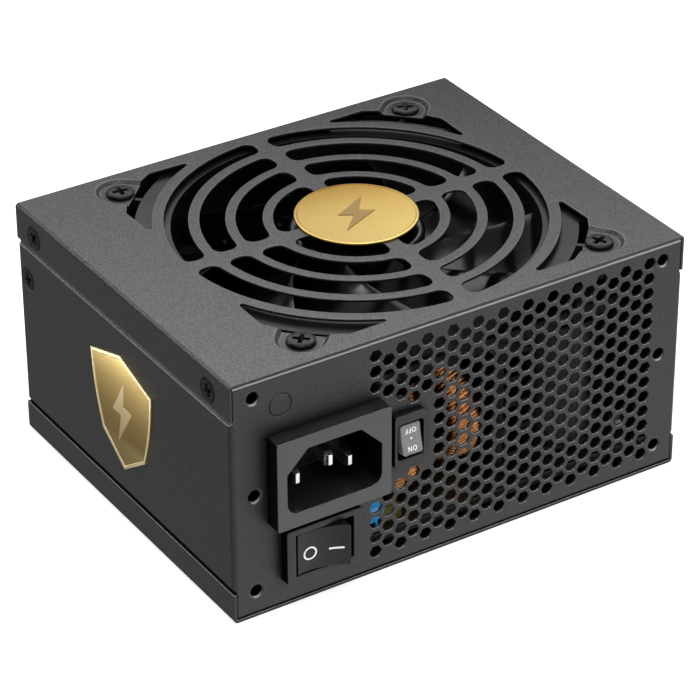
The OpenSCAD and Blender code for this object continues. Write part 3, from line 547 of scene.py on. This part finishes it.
def lathe(profile, seg=64):
    """(radius, z) points turned round Z."""
    verts, faces, rings = [], [], []
    for radius, z in profile:
        start = len(verts)
        if radius <= 1e-9:
            verts.append((0.0, 0.0, z))
        else:
            for i in range(seg):
                angle = 2 * math.pi * i / seg
                verts.append((radius * math.cos(angle), radius * math.sin(angle), z))
        rings.append(list(range(start, len(verts))))
    for a, b in zip(rings, rings[1:]):
        if len(a) == 1 and len(b) == 1:
            continue
        for i in range(seg):
            j = (i + 1) % seg
            if len(a) == 1:
                faces.append([a[0], b[i], b[j]])
            elif len(b) == 1:
                faces.append([a[i], b[0], a[j]])
            else:
                faces.append([a[i], b[i], b[j], a[j]])
    return verts, faces


def arc(centre_x, centre_y, radius, start, end, steps):
    """Points on an arc, angles in degrees."""
    points = []
    for i in range(steps + 1):
        angle = math.radians(start + (end - start) * i / steps)
        points.append(
            (centre_x + radius * math.cos(angle), centre_y + radius * math.sin(angle)))
    return points


def sweep(path, radius, sides):
    """Round rod along a path."""
    points = np.array(path, float)
    tangents = np.gradient(points, axis=0)
    tangents /= np.linalg.norm(tangents, axis=1)[:, None]
    up = np.array([0.0, 0.0, 1.0] if abs(tangents[0][2]) < 0.9 else [1.0, 0.0, 0.0])
    across = np.cross(tangents[0], up)
    verts = []
    for point, tangent in zip(points, tangents):
        # carry the previous cross direction along, so the rod doesn't twist
        across = across - tangent * np.dot(across, tangent)
        across /= np.linalg.norm(across)
        other = np.cross(tangent, across)
        for k in range(sides):
            angle = 2 * math.pi * k / sides
            verts.append(point + radius * (math.cos(angle) * across + math.sin(angle) * other))
    return verts, bands(len(points), sides) + end_caps(len(points), sides)


def prism(outline, bottom, top):
    """(x, y) outline extruded along Z."""
    verts = [(x, y, z) for z in (bottom, top) for x, y in outline]
    return verts, end_caps(2, len(outline)) + bands(2, len(outline))


def cut(shape, cutters):
    """The closed shape with the closed cutters taken out of it."""
    def temporary(source, name):
        mesh = bpy.data.meshes.new(name)
        mesh.from_pydata([tuple(point) for point in source[0]], [], source[1])
        bm = bmesh.new()
        bm.from_mesh(mesh)
        bmesh.ops.recalc_face_normals(bm, faces=bm.faces)
        bm.to_mesh(mesh)
        bm.free()
        obj = bpy.data.objects.new(name, mesh)
        bpy.context.scene.collection.objects.link(obj)
        return obj

    target = temporary(shape, "tmp_target")
    temporaries = [target]
    for cutter in cutters:
        tool = temporary(cutter, "tmp_cutter")
        temporaries.append(tool)
        modifier = target.modifiers.new("cut", "BOOLEAN")
        modifier.operation = "DIFFERENCE"
        modifier.solver = "EXACT"
        modifier.object = tool
    evaluated = target.evaluated_get(bpy.context.evaluated_depsgraph_get())
    mesh = evaluated.to_mesh()
    verts = [vertex.co.copy() for vertex in mesh.vertices]
    faces = [list(polygon.vertices) for polygon in mesh.polygons]
    evaluated.to_mesh_clear()
    for obj in temporaries:
        mesh = obj.data
        bpy.data.objects.remove(obj)
        bpy.data.meshes.remove(mesh)
    return verts, faces


def islands(node):
    """Boxes (low, high) of a CAD node's separate solids, sorted by their low corners."""
    mesh = NODES[node].data
    points = np.array([vertex.co for vertex in mesh.vertices], float)
    parent = list(range(len(points)))

    def root(i):
        while parent[i] != i:
            parent[i] = parent[parent[i]]
            i = parent[i]
        return i

    # vertices in the same spot belong together, and so do the ends of an edge
    seen = {}
    for i, spot in enumerate(np.round(points / 1e-6).astype(int)):
        key = tuple(spot)
        if key in seen:
            parent[root(i)] = root(seen[key])
        else:
            seen[key] = i
    for edge in mesh.edges:
        a, b = root(edge.vertices[0]), root(edge.vertices[1])
        if a != b:
            parent[a] = b
    groups = {}
    for i in range(len(points)):
        groups.setdefault(root(i), []).append(i)
    boxes = []
    for group in groups.values():
        boxes.append((Vector(points[group].min(0)), Vector(points[group].max(0))))
    return sorted(boxes, key=lambda box: tuple(round(value, 5) for value in box[0]))


# ------------------------------------------------------------------- CAD nodes
# materials with a painted highlight, given to the bevels of the sheet-metal parts
EDGE_LOOK = {"chassis": "panel_edge", "bottom_cover": "panel_edge", "top_cover": "cover_edge",
             "front_panel": "panel_edge"}
# bevel widths in mm
DEFAULT_BEVEL = 0.10
BEVELS = {
    "top_cover": 0.22, "bottom_cover": 0.15, "chassis": 0.16, "front_panel": 0.15,
    "grille_medallion": 0.12, "ac_inlet_body": 0.25, "ac_pins": 0.08,
    "power_switch_frame": 0.22, "power_rocker": 0.20, "fan_mode_switch_frame": 0.22,
    "fan_mode_rocker": 0.18, "fan_frame": 0.05, "primary_heatsink": 0.15,
    "secondary_heatsink": 0.15,
}


def finish_cad(node):
    """Material and softened edges on a CAD node, by modifiers only."""
    obj = NODES[node]
    material = LOOK["panel_coat" if node == "chassis" else SLOT[node]]
    if len(obj.material_slots) == 0:
        obj.data.materials.append(material)
    for slot in obj.material_slots:
        slot.material = material
    obj.data.polygons.foreach_set("use_smooth", [True] * len(obj.data.polygons))
    weld = obj.modifiers.new("weld", "WELD")
    weld.merge_threshold = 1e-6
    bevel = obj.modifiers.new("bevel", "BEVEL")
    bevel.width = BEVELS.get(node, DEFAULT_BEVEL) * MM
    bevel.segments = 2
    bevel.limit_method = "ANGLE"
    # the small rocker's curved face has facets too short for a bevel: only its corners get one
    bevel.angle_limit = math.radians(60 if node == "fan_mode_rocker" else 30)
    bevel.use_clamp_overlap = False
    bevel.loop_slide = False
    # the bevels take the material with the painted edge highlight
    if node in EDGE_LOOK:
        obj.data.materials.append(LOOK[EDGE_LOOK[node]])
        bevel.material = len(obj.data.materials) - 1
    normals = obj.modifiers.new("normals", "WEIGHTED_NORMAL")
    normals.mode = "FACE_AREA"
    normals.weight = 100
    normals.keep_sharp = False


for node in NODES:
    finish_cad(node)


# ------------------------------------------------------------------- fan rotor
fan_lo, fan_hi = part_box("fan_frame")
FAN = middle(fan_lo, fan_hi, fan_lo.z)
FAN_BORE = (fan_hi.x - fan_lo.x) / MM / 2 - 1.7
HUB_RADIUS = 16.4
BLADES = 9
# hub cup with a bearing tube inside, (radius, z)
HUB = (
    [(0, 14.0), (HUB_RADIUS - 1.5, 13.95)]
    + arc(HUB_RADIUS - 1.3, 12.7, 1.3, 88, 0, 8)
    + [(HUB_RADIUS, 3.0), (HUB_RADIUS - 1.5, 3.0), (HUB_RADIUS - 1.5, 12.6),
       (3.2, 12.6), (3.2, 10.6), (1.5, 10.6), (1.5, 12.8), (0, 12.8)])


def blade(turn, chord_steps=26, span_steps=22):
    """Closed sections from hub to tip: upper face from leading to trailing edge, then back."""
    verts = []
    for j in range(span_steps + 1):
        t = j / span_steps
        radius = HUB_RADIUS - 0.5 + (FAN_BORE - 0.3 - HUB_RADIUS) * t
        leading = -27 + 46 * t - 16 * t * t
        tip = 1.0 if t < 0.96 else math.sqrt(max(0.02, 1 - ((t - 0.96) / 0.04) ** 2 * 0.9))
        for k in range(2 * chord_steps):
            side = 1 if k < chord_steps else -1
            u = (k if side > 0 else 2 * chord_steps - k) / chord_steps
            # half thickness, rounded off at both edges
            half = 0.62 * math.sqrt(max(0.0, 1 - (2 * u - 1) ** 10))
            half *= 1.0 - 0.35 * (2 * u - 1) ** 2
            angle = math.radians(turn + leading - u * (32 + 2 * t))
            z = 4.3 + 8.4 * (1 - u) ** 1.7 + side * half * tip
            verts.append((radius * math.cos(angle), radius * math.sin(angle), z))
    rings, count = span_steps + 1, 2 * chord_steps
    return verts, bands(rings, count) + end_caps(rings, count)


rotor = [lathe(HUB, 96)] + [blade(15.5 + 360 / BLADES * i) for i in range(BLADES)]
build("fan_rotor_form", [part(shape, to_frame(FAN), "blade_plastic") for shape in rotor],
      "fan_rotor", body="fan", smooth_deg=50)


# ---------------------------------------------------------------------- chokes
# ring standing on edge: its axis along X, angle 0 towards -Y, 90 downwards
ON_EDGE = Matrix(((0, 0, 1), (-1, 0, 0), (0, -1, 0)))
BOARD_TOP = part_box("main_board")[1].z
STEPS_PER_TURN = 28


def choke_path(turns, inner, outer, half, wire, start, inner_step, span, slant=0.0):
    """Wire path of a coil wound on a ring of box section, the ring's axis along Z.

    Alternate turns lie inner_step deeper at the bore. start and span are degrees round the
    ring, and slant (degrees) leans the wires where they cross the rim.
    """
    squareness = 5.0  # exponent of the rounded-box section
    centre, half_width = (inner + outer) / 2, (outer - inner) / 2 + wire
    half_height = half + wire
    total = turns * STEPS_PER_TURN
    points = []
    for step in range(total + 1):
        theta = 2 * math.pi * step / STEPS_PER_TURN
        cos, sin = math.cos(theta), math.sin(theta)
        reach = (abs(cos) ** squareness + abs(sin) ** squareness) ** (-1 / squareness)
        x, z = reach * cos * half_width, reach * sin * half_height
        alternate = 0.5 - 0.5 * math.cos(math.pi * step / STEPS_PER_TURN)
        radius = centre + x - inner_step * alternate * max(0.0, -cos) ** 2
        lean = slant * max(-1.0, min(1.0, z / half_height))
        angle = math.radians(start + span * step / total + lean)
        points.append((radius * math.cos(angle), radius * math.sin(angle), z))
    return points


def winding(matrix, wire, **shape):
    return part(sweep(choke_path(wire=wire, **shape), wire, sides=8), matrix, "copper_wire")


def ring_core(inner, outer, half, corner=0.8):
    profile = []
    for radius, z, start in ((outer - corner, half - corner, 0),
                             (inner + corner, half - corner, 90),
                             (inner + corner, -half + corner, 180),
                             (outer - corner, -half + corner, 270)):
        profile += arc(radius, z, corner, start, start + 90, 5)
    return lathe(profile, 72)


def choke_legs(centre, places, top, radius):
    """Upright wires from the board to top (mm from the centre), at (x, y) places."""
    bottom = (BOARD_TOP - centre.z) / MM
    legs = []
    for x, y in places:
        path = [(x, y, bottom + k / 5 * (top - bottom)) for k in range(6)]
        legs.append(part(sweep(path, radius, sides=10), to_frame(centre), "copper_wire"))
    return legs


def large_choke():
    lo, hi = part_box("pfc_choke_core")
    centre = (lo + hi) / 2
    matrix = to_frame(centre, ON_EDGE)
    core = ring_core(7.05, (hi.z - lo.z) / 2 / MM, (hi.x - lo.x) / 2 / MM)
    build("large_choke_core_form", [part(core, matrix, "dark_ferrite")],
          "pfc_choke_core")
    coil = winding(matrix, wire=0.52, turns=78, inner=7.1, outer=12.75, half=3.6, start=97,
                   inner_step=1.0, span=346, slant=-5.5)
    legs = choke_legs(centre, [(-1.0, -2.4), (1.0, 2.4)], top=-12.9, radius=0.5)
    build("large_choke_winding_form", [coil] + legs, "pfc_choke_winding",
          smooth_deg=70)


def filter_chokes():
    """Mains filter chokes: two windings, one on each half of the ring."""
    inner, leg = 4.8, 2.6
    cores, coils = [], []
    for lo, hi in islands("filter_choke_cores"):
        centre = (lo + hi) / 2
        along_x = hi.x - lo.x < hi.y - lo.y
        turn = ON_EDGE if along_x else Matrix.Rotation(math.radians(90), 3, "Z") @ ON_EDGE
        matrix = to_frame(centre, turn)
        core = ring_core(inner, (hi.z - lo.z) / 2 / MM, 3.9)
        cores.append(part(core, matrix, "dark_ferrite"))
        for start in (-73, -73 + 180):
            coils.append(winding(matrix, wire=0.6, turns=18, inner=inner, outer=8.4, half=3.75,
                                 start=start, inner_step=1.1, span=146, slant=-7))
        places = [(0, -leg), (0, leg)] if along_x else [(-leg, 0), (leg, 0)]
        coils += choke_legs(centre, places, top=-8.3, radius=0.45)
    build("filter_choke_cores_form", cores, "filter_choke_cores")
    build("filter_choke_windings_form", coils, "filter_choke_windings",
          smooth_deg=70)


def output_choke():
    """Choke lying flat on the board."""
    lo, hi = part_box("output_choke")
    matrix = to_frame((lo + hi) / 2)
    core = part(ring_core(4.9, 8.5, 3.8), matrix, "dark_ferrite")
    coil = winding(matrix, wire=0.5, turns=24, inner=5.0, outer=8.4, half=3.75, start=10,
                   inner_step=0.6, span=345)
    build("output_choke_form", [core, coil], "output_choke", smooth_deg=70)


large_choke()
filter_chokes()
output_choke()


# ---------------------------------------------------------------------- screws
FACE_LEFT = Matrix.Rotation(math.radians(-90), 3, "Y")  # head towards -X
FACE_RIGHT = Matrix.Rotation(math.radians(90), 3, "Y")  # head towards +X
FACE_DOWN = Matrix.Rotation(math.radians(180), 3, "X")
PAN_HEIGHT = 1.0


def spin(degrees):
    return Matrix.Rotation(math.radians(degrees), 3, "Z")


def cross_recess(length, width, depth, end_length, core):
    """Cutters of a cross recess open at z = 0: two crossed tapered bars and a conical core."""
    top = 0.4
    end_x, end_y = end_length / 2, width * 0.32
    grow = (depth + top) / depth
    top_x = end_x + (length / 2 - end_x) * grow
    top_y = end_y + (width / 2 - end_y) * grow
    wing = []
    for x, y, z in ((end_x, end_y, -depth), (top_x, top_y, top)):
        wing += [(-x, -y, z), (x, -y, z), (x, y, z), (-x, y, z)]
    crossed = [(-y, x, z) for x, y, z in wing]
    faces = [[3, 2, 1, 0], [4, 5, 6, 7]] + bands(2, 4)
    cone = lathe([(0, -depth), (core * 0.45, -depth), (core * 1.1, top), (0, top)], 16)
    return [(wing, faces), (crossed, faces), cone]


def countersunk_screw():
    profile = [(0, 0.0), (2.2, 0.0), (2.62, -0.02), (2.82, -0.09), (2.9, -0.2),
               (1.5, -1.3), (1.5, -4.7), (1.2, -5.0), (0, -5.0)]
    recess = cross_recess(length=3.4, width=0.95, depth=1.35, end_length=1.2, core=0.85)
    return cut(lathe(profile), recess)


def pan_screw(radius=3.4, height=PAN_HEIGHT, shank=2.0, length=9.0):
    # crown of the head, as fractions of its radius and height
    crown = [(0, 1), (0.55, 0.99), (0.80, 0.95), (0.90, 0.88), (0.97, 0.74), (1, 0.55)]
    profile = [(radius * out, height * up) for out, up in crown]
    profile += [(radius, 0.12), (radius - 0.1, 0.0), (shank, 0.0), (shank, -length + 0.4),
                (shank - 0.4, -length), (0, -length)]
    recess = cross_recess(length=4.1, width=1.1, depth=1.5, end_length=1.5, core=1.05)
    lift = Matrix.Translation((0, 0, height))
    return cut(lathe(profile, 72), [moved(cutter, lift) for cutter in recess])


def screws(node, shape, places):
    parts = [part(shape, to_frame(origin, turn), "screw_black") for origin, turn in places]
    build(node + "_form", parts, node, smooth_deg=38, bevel=0.05)


def side_places(node):
    places = []
    for i, (lo, hi) in enumerate(islands(node)):
        mid = (lo + hi) / 2
        if mid.x < 0:
            places.append((Vector((lo.x, mid.y, mid.z)), FACE_LEFT @ spin(20 + 37 * i)))
        else:
            places.append((Vector((hi.x, mid.y, mid.z)), FACE_RIGHT @ spin(10 + 29 * i)))
    return places


countersunk = countersunk_screw()
for node in ("cover_screws", "front_panel_screws"):
    screws(node, countersunk, side_places(node))
screws("bottom_screws", countersunk, [
    (middle(lo, hi, lo.z), FACE_DOWN @ spin(15 + 31 * i))
    for i, (lo, hi) in enumerate(islands("bottom_screws"))])
FAN_SCREW_TURNS = [48, 82, 20, 62]
screws("fan_screws", pan_screw(), [
    (middle(lo, hi, hi.z - PAN_HEIGHT * MM), spin(FAN_SCREW_TURNS[i % 4]))
    for i, (lo, hi) in enumerate(islands("fan_screws"))])


# ----------------------------------------------------------- electrolytic cans
def can_parts(lo, hi, seg=48):
    """Sleeved can: foot, crimp groove, rounded shoulder, and a bare end with vent lines."""
    radius, height = (hi.x - lo.x) / 2 / MM, (hi.z - lo.z) / MM
    profile = [(0, 0), (radius - 0.7, 0), (radius - 0.5, 0.25)]
    profile += arc(radius - 0.35, 0.6, 0.35, -90, 0, 4)
    profile += [(radius, 1.1), (radius - 0.28, 1.45), (radius - 0.3, 1.75), (radius, 2.1),
                (radius, height - 0.9)]
    profile += arc(radius - 0.8, height - 0.9, 0.8, 0, 90, 6)
    profile += [(radius - 1.25, height), (radius - 1.3, height - 0.12),
                (radius * 0.55, height - 0.14), (0, height - 0.15)]
    matrix = to_frame(middle(lo, hi, lo.z))
    verts, faces = lathe(profile, seg)
    end = len(faces) - 2 * seg  # the last two bands are the bare end
    parts = [part((verts, faces[:end]), matrix, "capacitor_sleeve"),
             part((verts, faces[end:]), matrix, "can_end")]
    half_width, length = 0.16, radius * 0.52
    for degrees in (0, 120, 240):
        cos, sin = math.cos(math.radians(degrees)), math.sin(math.radians(degrees))
        x, y = sin * half_width, -cos * half_width
        line = [(x, y), (length * cos + x, length * sin + y),
                (length * cos - x, length * sin - y), (-x, -y)]
        parts.append(part(prism(line, height - 0.2, height - 0.06), matrix, "rubber"))
    return parts


build("bulk_capacitor_form", can_parts(*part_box("bulk_capacitor")),
      "bulk_capacitor")
small_cans = []
for lo, hi in islands("output_capacitors"):
    small_cans += can_parts(lo, hi)
build("output_capacitors_form", small_cans, "output_capacitors")


# ---------------------------------------------------------------------- badges
# lightning flash outline, (x, y)
FLASH = [(1.2, 8), (-4.2, -0.8), (-0.6, -0.8), (-2.2, -8), (4.2, 1.6), (0.5, 1.6)]
SHIELD_HALF_WIDTH, SHIELD_HALF_HEIGHT = 14.2, 15.65


def flash(scale, bottom, top):
    return prism([(x * scale, y * scale) for x, y in FLASH], bottom, top)


def shield(scale):
    """Pointed top and foot, with flanks that bulge a little as they narrow downwards."""
    w, h = SHIELD_HALF_WIDTH * scale, SHIELD_HALF_HEIGHT * scale
    flank = []
    for i in range(1, 14):
        t = i / 14
        bulge = 0.9 * scale * math.sin(math.pi * t)
        flank.append((w * (1 - 0.3 * t) + bulge, h * (0.713 - 1.278 * t)))
    mirrored = [(-x, y) for x, y in flank[::-1]]
    return ([(0, h), (w, h * 0.713)] + flank + [(w * 0.7, -h * 0.565), (0, -h),
            (-w * 0.7, -h * 0.565)] + mirrored + [(-w, h * 0.713)])


def rim(outer, inner, bottom, top, inner_top):
    """Closed raised border between two outlines, its inner wall sloping down to inner_top."""
    crest = [(ox * 0.25 + ix * 0.75, oy * 0.25 + iy * 0.75)
             for (ox, oy), (ix, iy) in zip(outer, inner)]
    rings = ((outer, bottom), (outer, top), (crest, top), (inner, inner_top), (inner, bottom))
    verts = [(x, y, z) for outline, z in rings for x, y in outline]
    return verts, bands(len(rings), len(outer), loop=True)


def side_badge():
    lo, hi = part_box("side_badge")
    heights = (lo.z, hi.z)
    centre = Vector((hi.x, (lo.y + hi.y) / 2, lo.z + SHIELD_HALF_HEIGHT * MM))
    # local x towards -Y, y up, and z out of the -X side
    matrix = to_frame(centre, Matrix(((0, 0, -1), (-1, 0, 0), (0, 1, 0))))
    # painted light: field and emblem are darker low down and lighter towards the top, and the rim's paler gold is
    # a painted highlight
    field_stops = [(0.0, (0.40, 0.26, 0.10)), (0.35, (0.42, 0.28, 0.105)),
                   (0.6, (0.60, 0.41, 0.15)), (1.0, (0.88, 0.64, 0.26))]
    emblem_stops = [(0.0, (0.70, 0.55, 0.30)), (0.4, (0.80, 0.64, 0.36)),
                    (1.0, (0.96, 0.82, 0.52))]
    field_gold = gold("badge_field", heights=heights, painted_fade=field_stops, crown=(-0.06, 0.80))
    rim_gold = gold("badge_rim", base=(0.97, 0.79, 0.44), rough=0.28, heights=heights,
                    crown=(0.45, 0.80))
    emblem_gold = gold("badge_emblem", rough=0.36, heights=heights, painted_fade=emblem_stops,
                       crown=(0.20, 0.75))
    field_top = 0.34
    border = rim(shield(1.0), shield(0.932), 0.0, 0.5, field_top)
    build("side_badge_form", [
        (*moved(border, matrix), rim_gold),
        (*moved(prism(shield(0.935), 0.02, field_top), matrix), field_gold),
        (*moved(flash(1.1, 0.3, 0.46), matrix), emblem_gold),
    ], "side_badge", smooth_deg=20, bevel=0.04)


def grille_medallion():
    """Round plate with a rounded raised edge and a flash on its face."""
    lo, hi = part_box("grille_medallion")
    centre = middle(lo, hi, lo.z)
    radius, height = (hi.x - lo.x) / 2 / MM, (hi.z - lo.z) / MM
    profile = [(0, height - 0.16), (radius - 1.0, height - 0.16), (radius - 0.85, height - 0.14),
               (radius - 0.7, height - 0.04), (radius - 0.55, height), (radius - 0.3, height),
               (radius - 0.1, height - 0.06), (radius, height - 0.2), (radius, 0.0), (0, 0)]
    # painted shade: the face darkens towards +Y
    face_gold = gold("medallion_face", base=(0.575, 0.4165, 0.135),
                     depth=(centre, radius * MM, (0.172, 0.0965, 0.010)), grain_weight=0.25)
    mark_gold = gold("medallion_emblem", base=(0.215, 0.140, 0.048), rough=0.34)
    mark = flash(1.05, height - 0.2, height - 0.02)
    build("grille_medallion_form", [
        (*moved(lathe(profile, 128), to_frame(centre)), face_gold),
        (*moved(mark, to_frame(centre, spin(-32))), mark_gold),
    ], "grille_medallion", smooth_deg=25, bevel=0.06)


side_badge()
grille_medallion()


# ---------------------------------------------------------------- switch marks
# marks are flat shapes (x, y, height), reaching just below and above the rocker's face
MARK_BOTTOM, MARK_TOP = -0.06, 0.05
LETTER_HEIGHT, LETTER_STROKE = 1.25, 0.21


def annulus(outer, inner, seg=48, squeeze=1.0):
    """Ring of even stroke, its width squeezed along x."""
    outer_x = outer * squeeze
    inner_x = outer_x - (outer - inner)
    verts = []
    for half_x, half_y, height in ((outer_x, outer, MARK_BOTTOM), (outer_x, outer, MARK_TOP),
                                   (inner_x, inner, MARK_TOP), (inner_x, inner, MARK_BOTTOM)):
        for i in range(seg):
            angle = 2 * math.pi * i / seg
            verts.append((half_x * math.cos(angle), half_y * math.sin(angle), height))
    return verts, bands(4, seg, loop=True)


def bar(x0, y0, x1, y1, width):
    """Straight stroke, in short steps so that it follows a curved face."""
    length = math.hypot(x1 - x0, y1 - y0)
    off_x, off_y = -(y1 - y0) / length * width / 2, (x1 - x0) / length * width / 2
    steps = max(2, int(length / 0.25))
    row = steps + 1
    verts = []
    for height in (MARK_BOTTOM, MARK_TOP):
        for side in (-1, 1):
            for i in range(row):
                x, y = x0 + (x1 - x0) * i / steps, y0 + (y1 - y0) * i / steps
                verts.append((x + side * off_x, y + side * off_y, height))
    faces = []
    for i in range(steps):
        for a, b in ((0, 1), (2, 3), (0, 2), (1, 3)):
            faces.append([a * row + i, a * row + i + 1, b * row + i + 1, b * row + i])
    for i in (0, steps):
        faces.append([i, row + i, 3 * row + i, 2 * row + i])
    return verts, faces


def glyph(letter):
    """A letter's strokes, starting at x = 0, and its width."""
    half, inset = LETTER_HEIGHT / 2, LETTER_STROKE / 2
    if letter == "O":
        squeeze = 0.92
        width = LETTER_HEIGHT * squeeze
        ring = annulus(half, half - LETTER_STROKE, 36, squeeze)
        return [moved(ring, Matrix.Translation((width / 2, 0, 0)))], width
    lines = [(inset, -half, inset, half)]
    if letter == "F":
        body = LETTER_HEIGHT * 0.62
        width = body * 0.9
        middle_y = 0.05 * LETTER_HEIGHT
        lines += [(0, half - inset, width, half - inset), (0, middle_y, body * 0.75, middle_y)]
    else:  # N
        width = LETTER_HEIGHT * 0.78
        end_y = half - inset * 0.6
        lines += [(width - inset, -half, width - inset, half),
                  (inset, end_y, width - inset, -end_y)]
    return [bar(*line, LETTER_STROKE) for line in lines], width


def word(text, gap):
    """Strokes of a word centred on x = 0."""
    glyphs = [glyph(letter) for letter in text]
    x = -(sum(width for _, width in glyphs) + gap * (len(text) - 1)) / 2
    strokes = []
    for shapes, width in glyphs:
        strokes += [moved(shape, Matrix.Translation((x, 0, 0))) for shape in shapes]
        x += width + gap
    return strokes


def on_power_rocker(shape, across, up=14.0):
    """Lays a mark on the rocker's hollow face: across from the pivot, up from the case's foot."""
    pivot = JOINT["power_rocker_tilt"]["pos_m"]
    tilt = Matrix.Rotation(math.radians(-12.5), 3, "Z")
    verts = []
    for x, y, height in shape[0]:
        u = across + x
        point = tilt @ Vector((u, -3.3 - 0.0317 * u * u - height, 0))
        verts.append(Vector((pivot[0] + point.x * MM, pivot[1] + point.y * MM,
                             CASE_LOW.z + (up + y) * MM)))
    return verts, shape[1], LOOK["marking_white"]


def on_mode_rocker(shape, up):
    """Lays a mark on the small rocker's crowned face, turned upside down."""
    pivot = JOINT["fan_mode_rocker_tilt"]["pos_m"]
    tilt = Matrix.Rotation(math.radians(-12.0), 3, "X")
    verts = []
    for x, y, height in shape[0]:
        v = up - y
        point = tilt @ Vector((0, -3.1 + 0.25 * (1 - (v / 3.8) ** 2) - height, v))
        verts.append(Vector((pivot[0] - x * MM, pivot[1] + point.y * MM,
                             pivot[2] + point.z * MM)))
    return verts, shape[1], LOOK["marking_white"]


build("power_rocker_marks", [
    on_power_rocker(annulus(1.75, 1.32), across=-3.15),
    on_power_rocker(bar(-1.75, 0, 1.75, 0, 0.5), across=3.25),
], body="power_rocker", smooth_deg=30)

marks = [on_mode_rocker(stroke, up=2.05) for stroke in word("OFF", gap=0.24)]
marks += [on_mode_rocker(stroke, up=-2.4) for stroke in word("ON", gap=0.28)]
dot = prism(arc(0, 0, 0.26, 0, 360, 20)[:-1], MARK_BOTTOM, MARK_TOP)
marks.append(on_mode_rocker(dot, up=0.1))
build("fan_mode_marks", marks, body="fan_mode_rocker", smooth_deg=30)


# ----------------------------------------------------------------------- stage
def make_floor(half=6.0, gap=0.0002):
    mesh = bpy.data.meshes.new("floor")
    z = cad_lo.z - gap
    corners = [(-half, -half, z), (half, -half, z), (half, half, z), (-half, half, z)]
    mesh.from_pydata(corners, [], [[0, 1, 2, 3]])
    floor = bpy.data.objects.new("floor", mesh)
    bpy.context.scene.collection.objects.link(floor)
    mat = Material("pale_floor")
    color = mat.mix(mat.noise(scale=14), (0.54, 0.54, 0.54), (0.56, 0.56, 0.56))
    mesh.materials.append(mat.finish(
        color=color, rough=0.9, spec=0.1, glow=(1, 1, 1), glow_strength=0.70))
    floor.visible_glossy = False


def make_world():
    """Even light above the horizon; below it, brighter towards +X -Y."""
    world = bpy.data.worlds.new("studio")
    bpy.context.scene.world = world
    sky = Graph(world, "ShaderNodeOutputWorld", "ShaderNodeBackground", "Generated")
    x, y, z = sky.split(sky.coords)
    above = sky.span(z, reach=(-0.12, 0.10))
    low = sky.span(sky.math("SUBTRACT", x, y), reach=(-1.0, 1.1), to=(0.30, 1.15))
    high = sky.span(z, reach=(0.0, 1.0), to=(0.50, 0.40))
    strength = sky.plus(
        sky.times(above, high), sky.times(sky.math("SUBTRACT", 1.0, above), low))
    sky.put(strength, sky.shader.inputs["Strength"])
    sky.put((1.0, 1.0, 1.0), sky.shader.inputs["Color"])


def softbox(name, place, width, height, radiance):
    """Area light whose brightness doesn't depend on its size."""
    light = bpy.data.lights.new(name, "AREA")
    light.shape = "RECTANGLE"
    light.size = width
    light.size_y = height
    light.energy = radiance * math.pi * width * height
    obj = bpy.data.objects.new(name, light)
    obj.location = place
    obj.rotation_mode = "QUATERNION"
    aim = Vector((0, 0.05, 0)) - Vector(place)
    obj.rotation_quaternion = aim.to_track_quat("-Z", "Y")
    bpy.context.scene.collection.objects.link(obj)


def make_camera():
    data = bpy.data.cameras.new("camera")
    data.lens = 166.4055
    data.sensor_width = 36.0
    data.clip_start, data.clip_end = 0.01, 50.0
    camera = bpy.data.objects.new("camera", data)
    camera.rotation_mode = "QUATERNION"
    camera.location = (-0.362131, -0.518368, 0.401861)
    camera.rotation_quaternion = (0.8356554, 0.4717788, -0.1368237, -0.2457318)
    bpy.context.scene.collection.objects.link(camera)
    bpy.context.scene.camera = camera


make_floor()
make_world()
softbox("back_softbox", (0.26, 0.40, 0.50), width=0.8, height=0.45, radiance=2.5)
softbox("overhead", (-0.15, -0.25, 1.3), width=0.8, height=0.8, radiance=5.0)
softbox("front_right_high", (0.62, -0.70, 0.95), width=0.45, height=0.45, radiance=6.0)
softbox("back_left", (-0.75, 1.0, 0.62), width=0.35, height=0.4, radiance=9.0)
make_camera()
bpy.context.scene.view_settings.view_transform = "Standard"
bpy.context.scene.view_settings.look = "None"

bpy.context.view_layer.update()
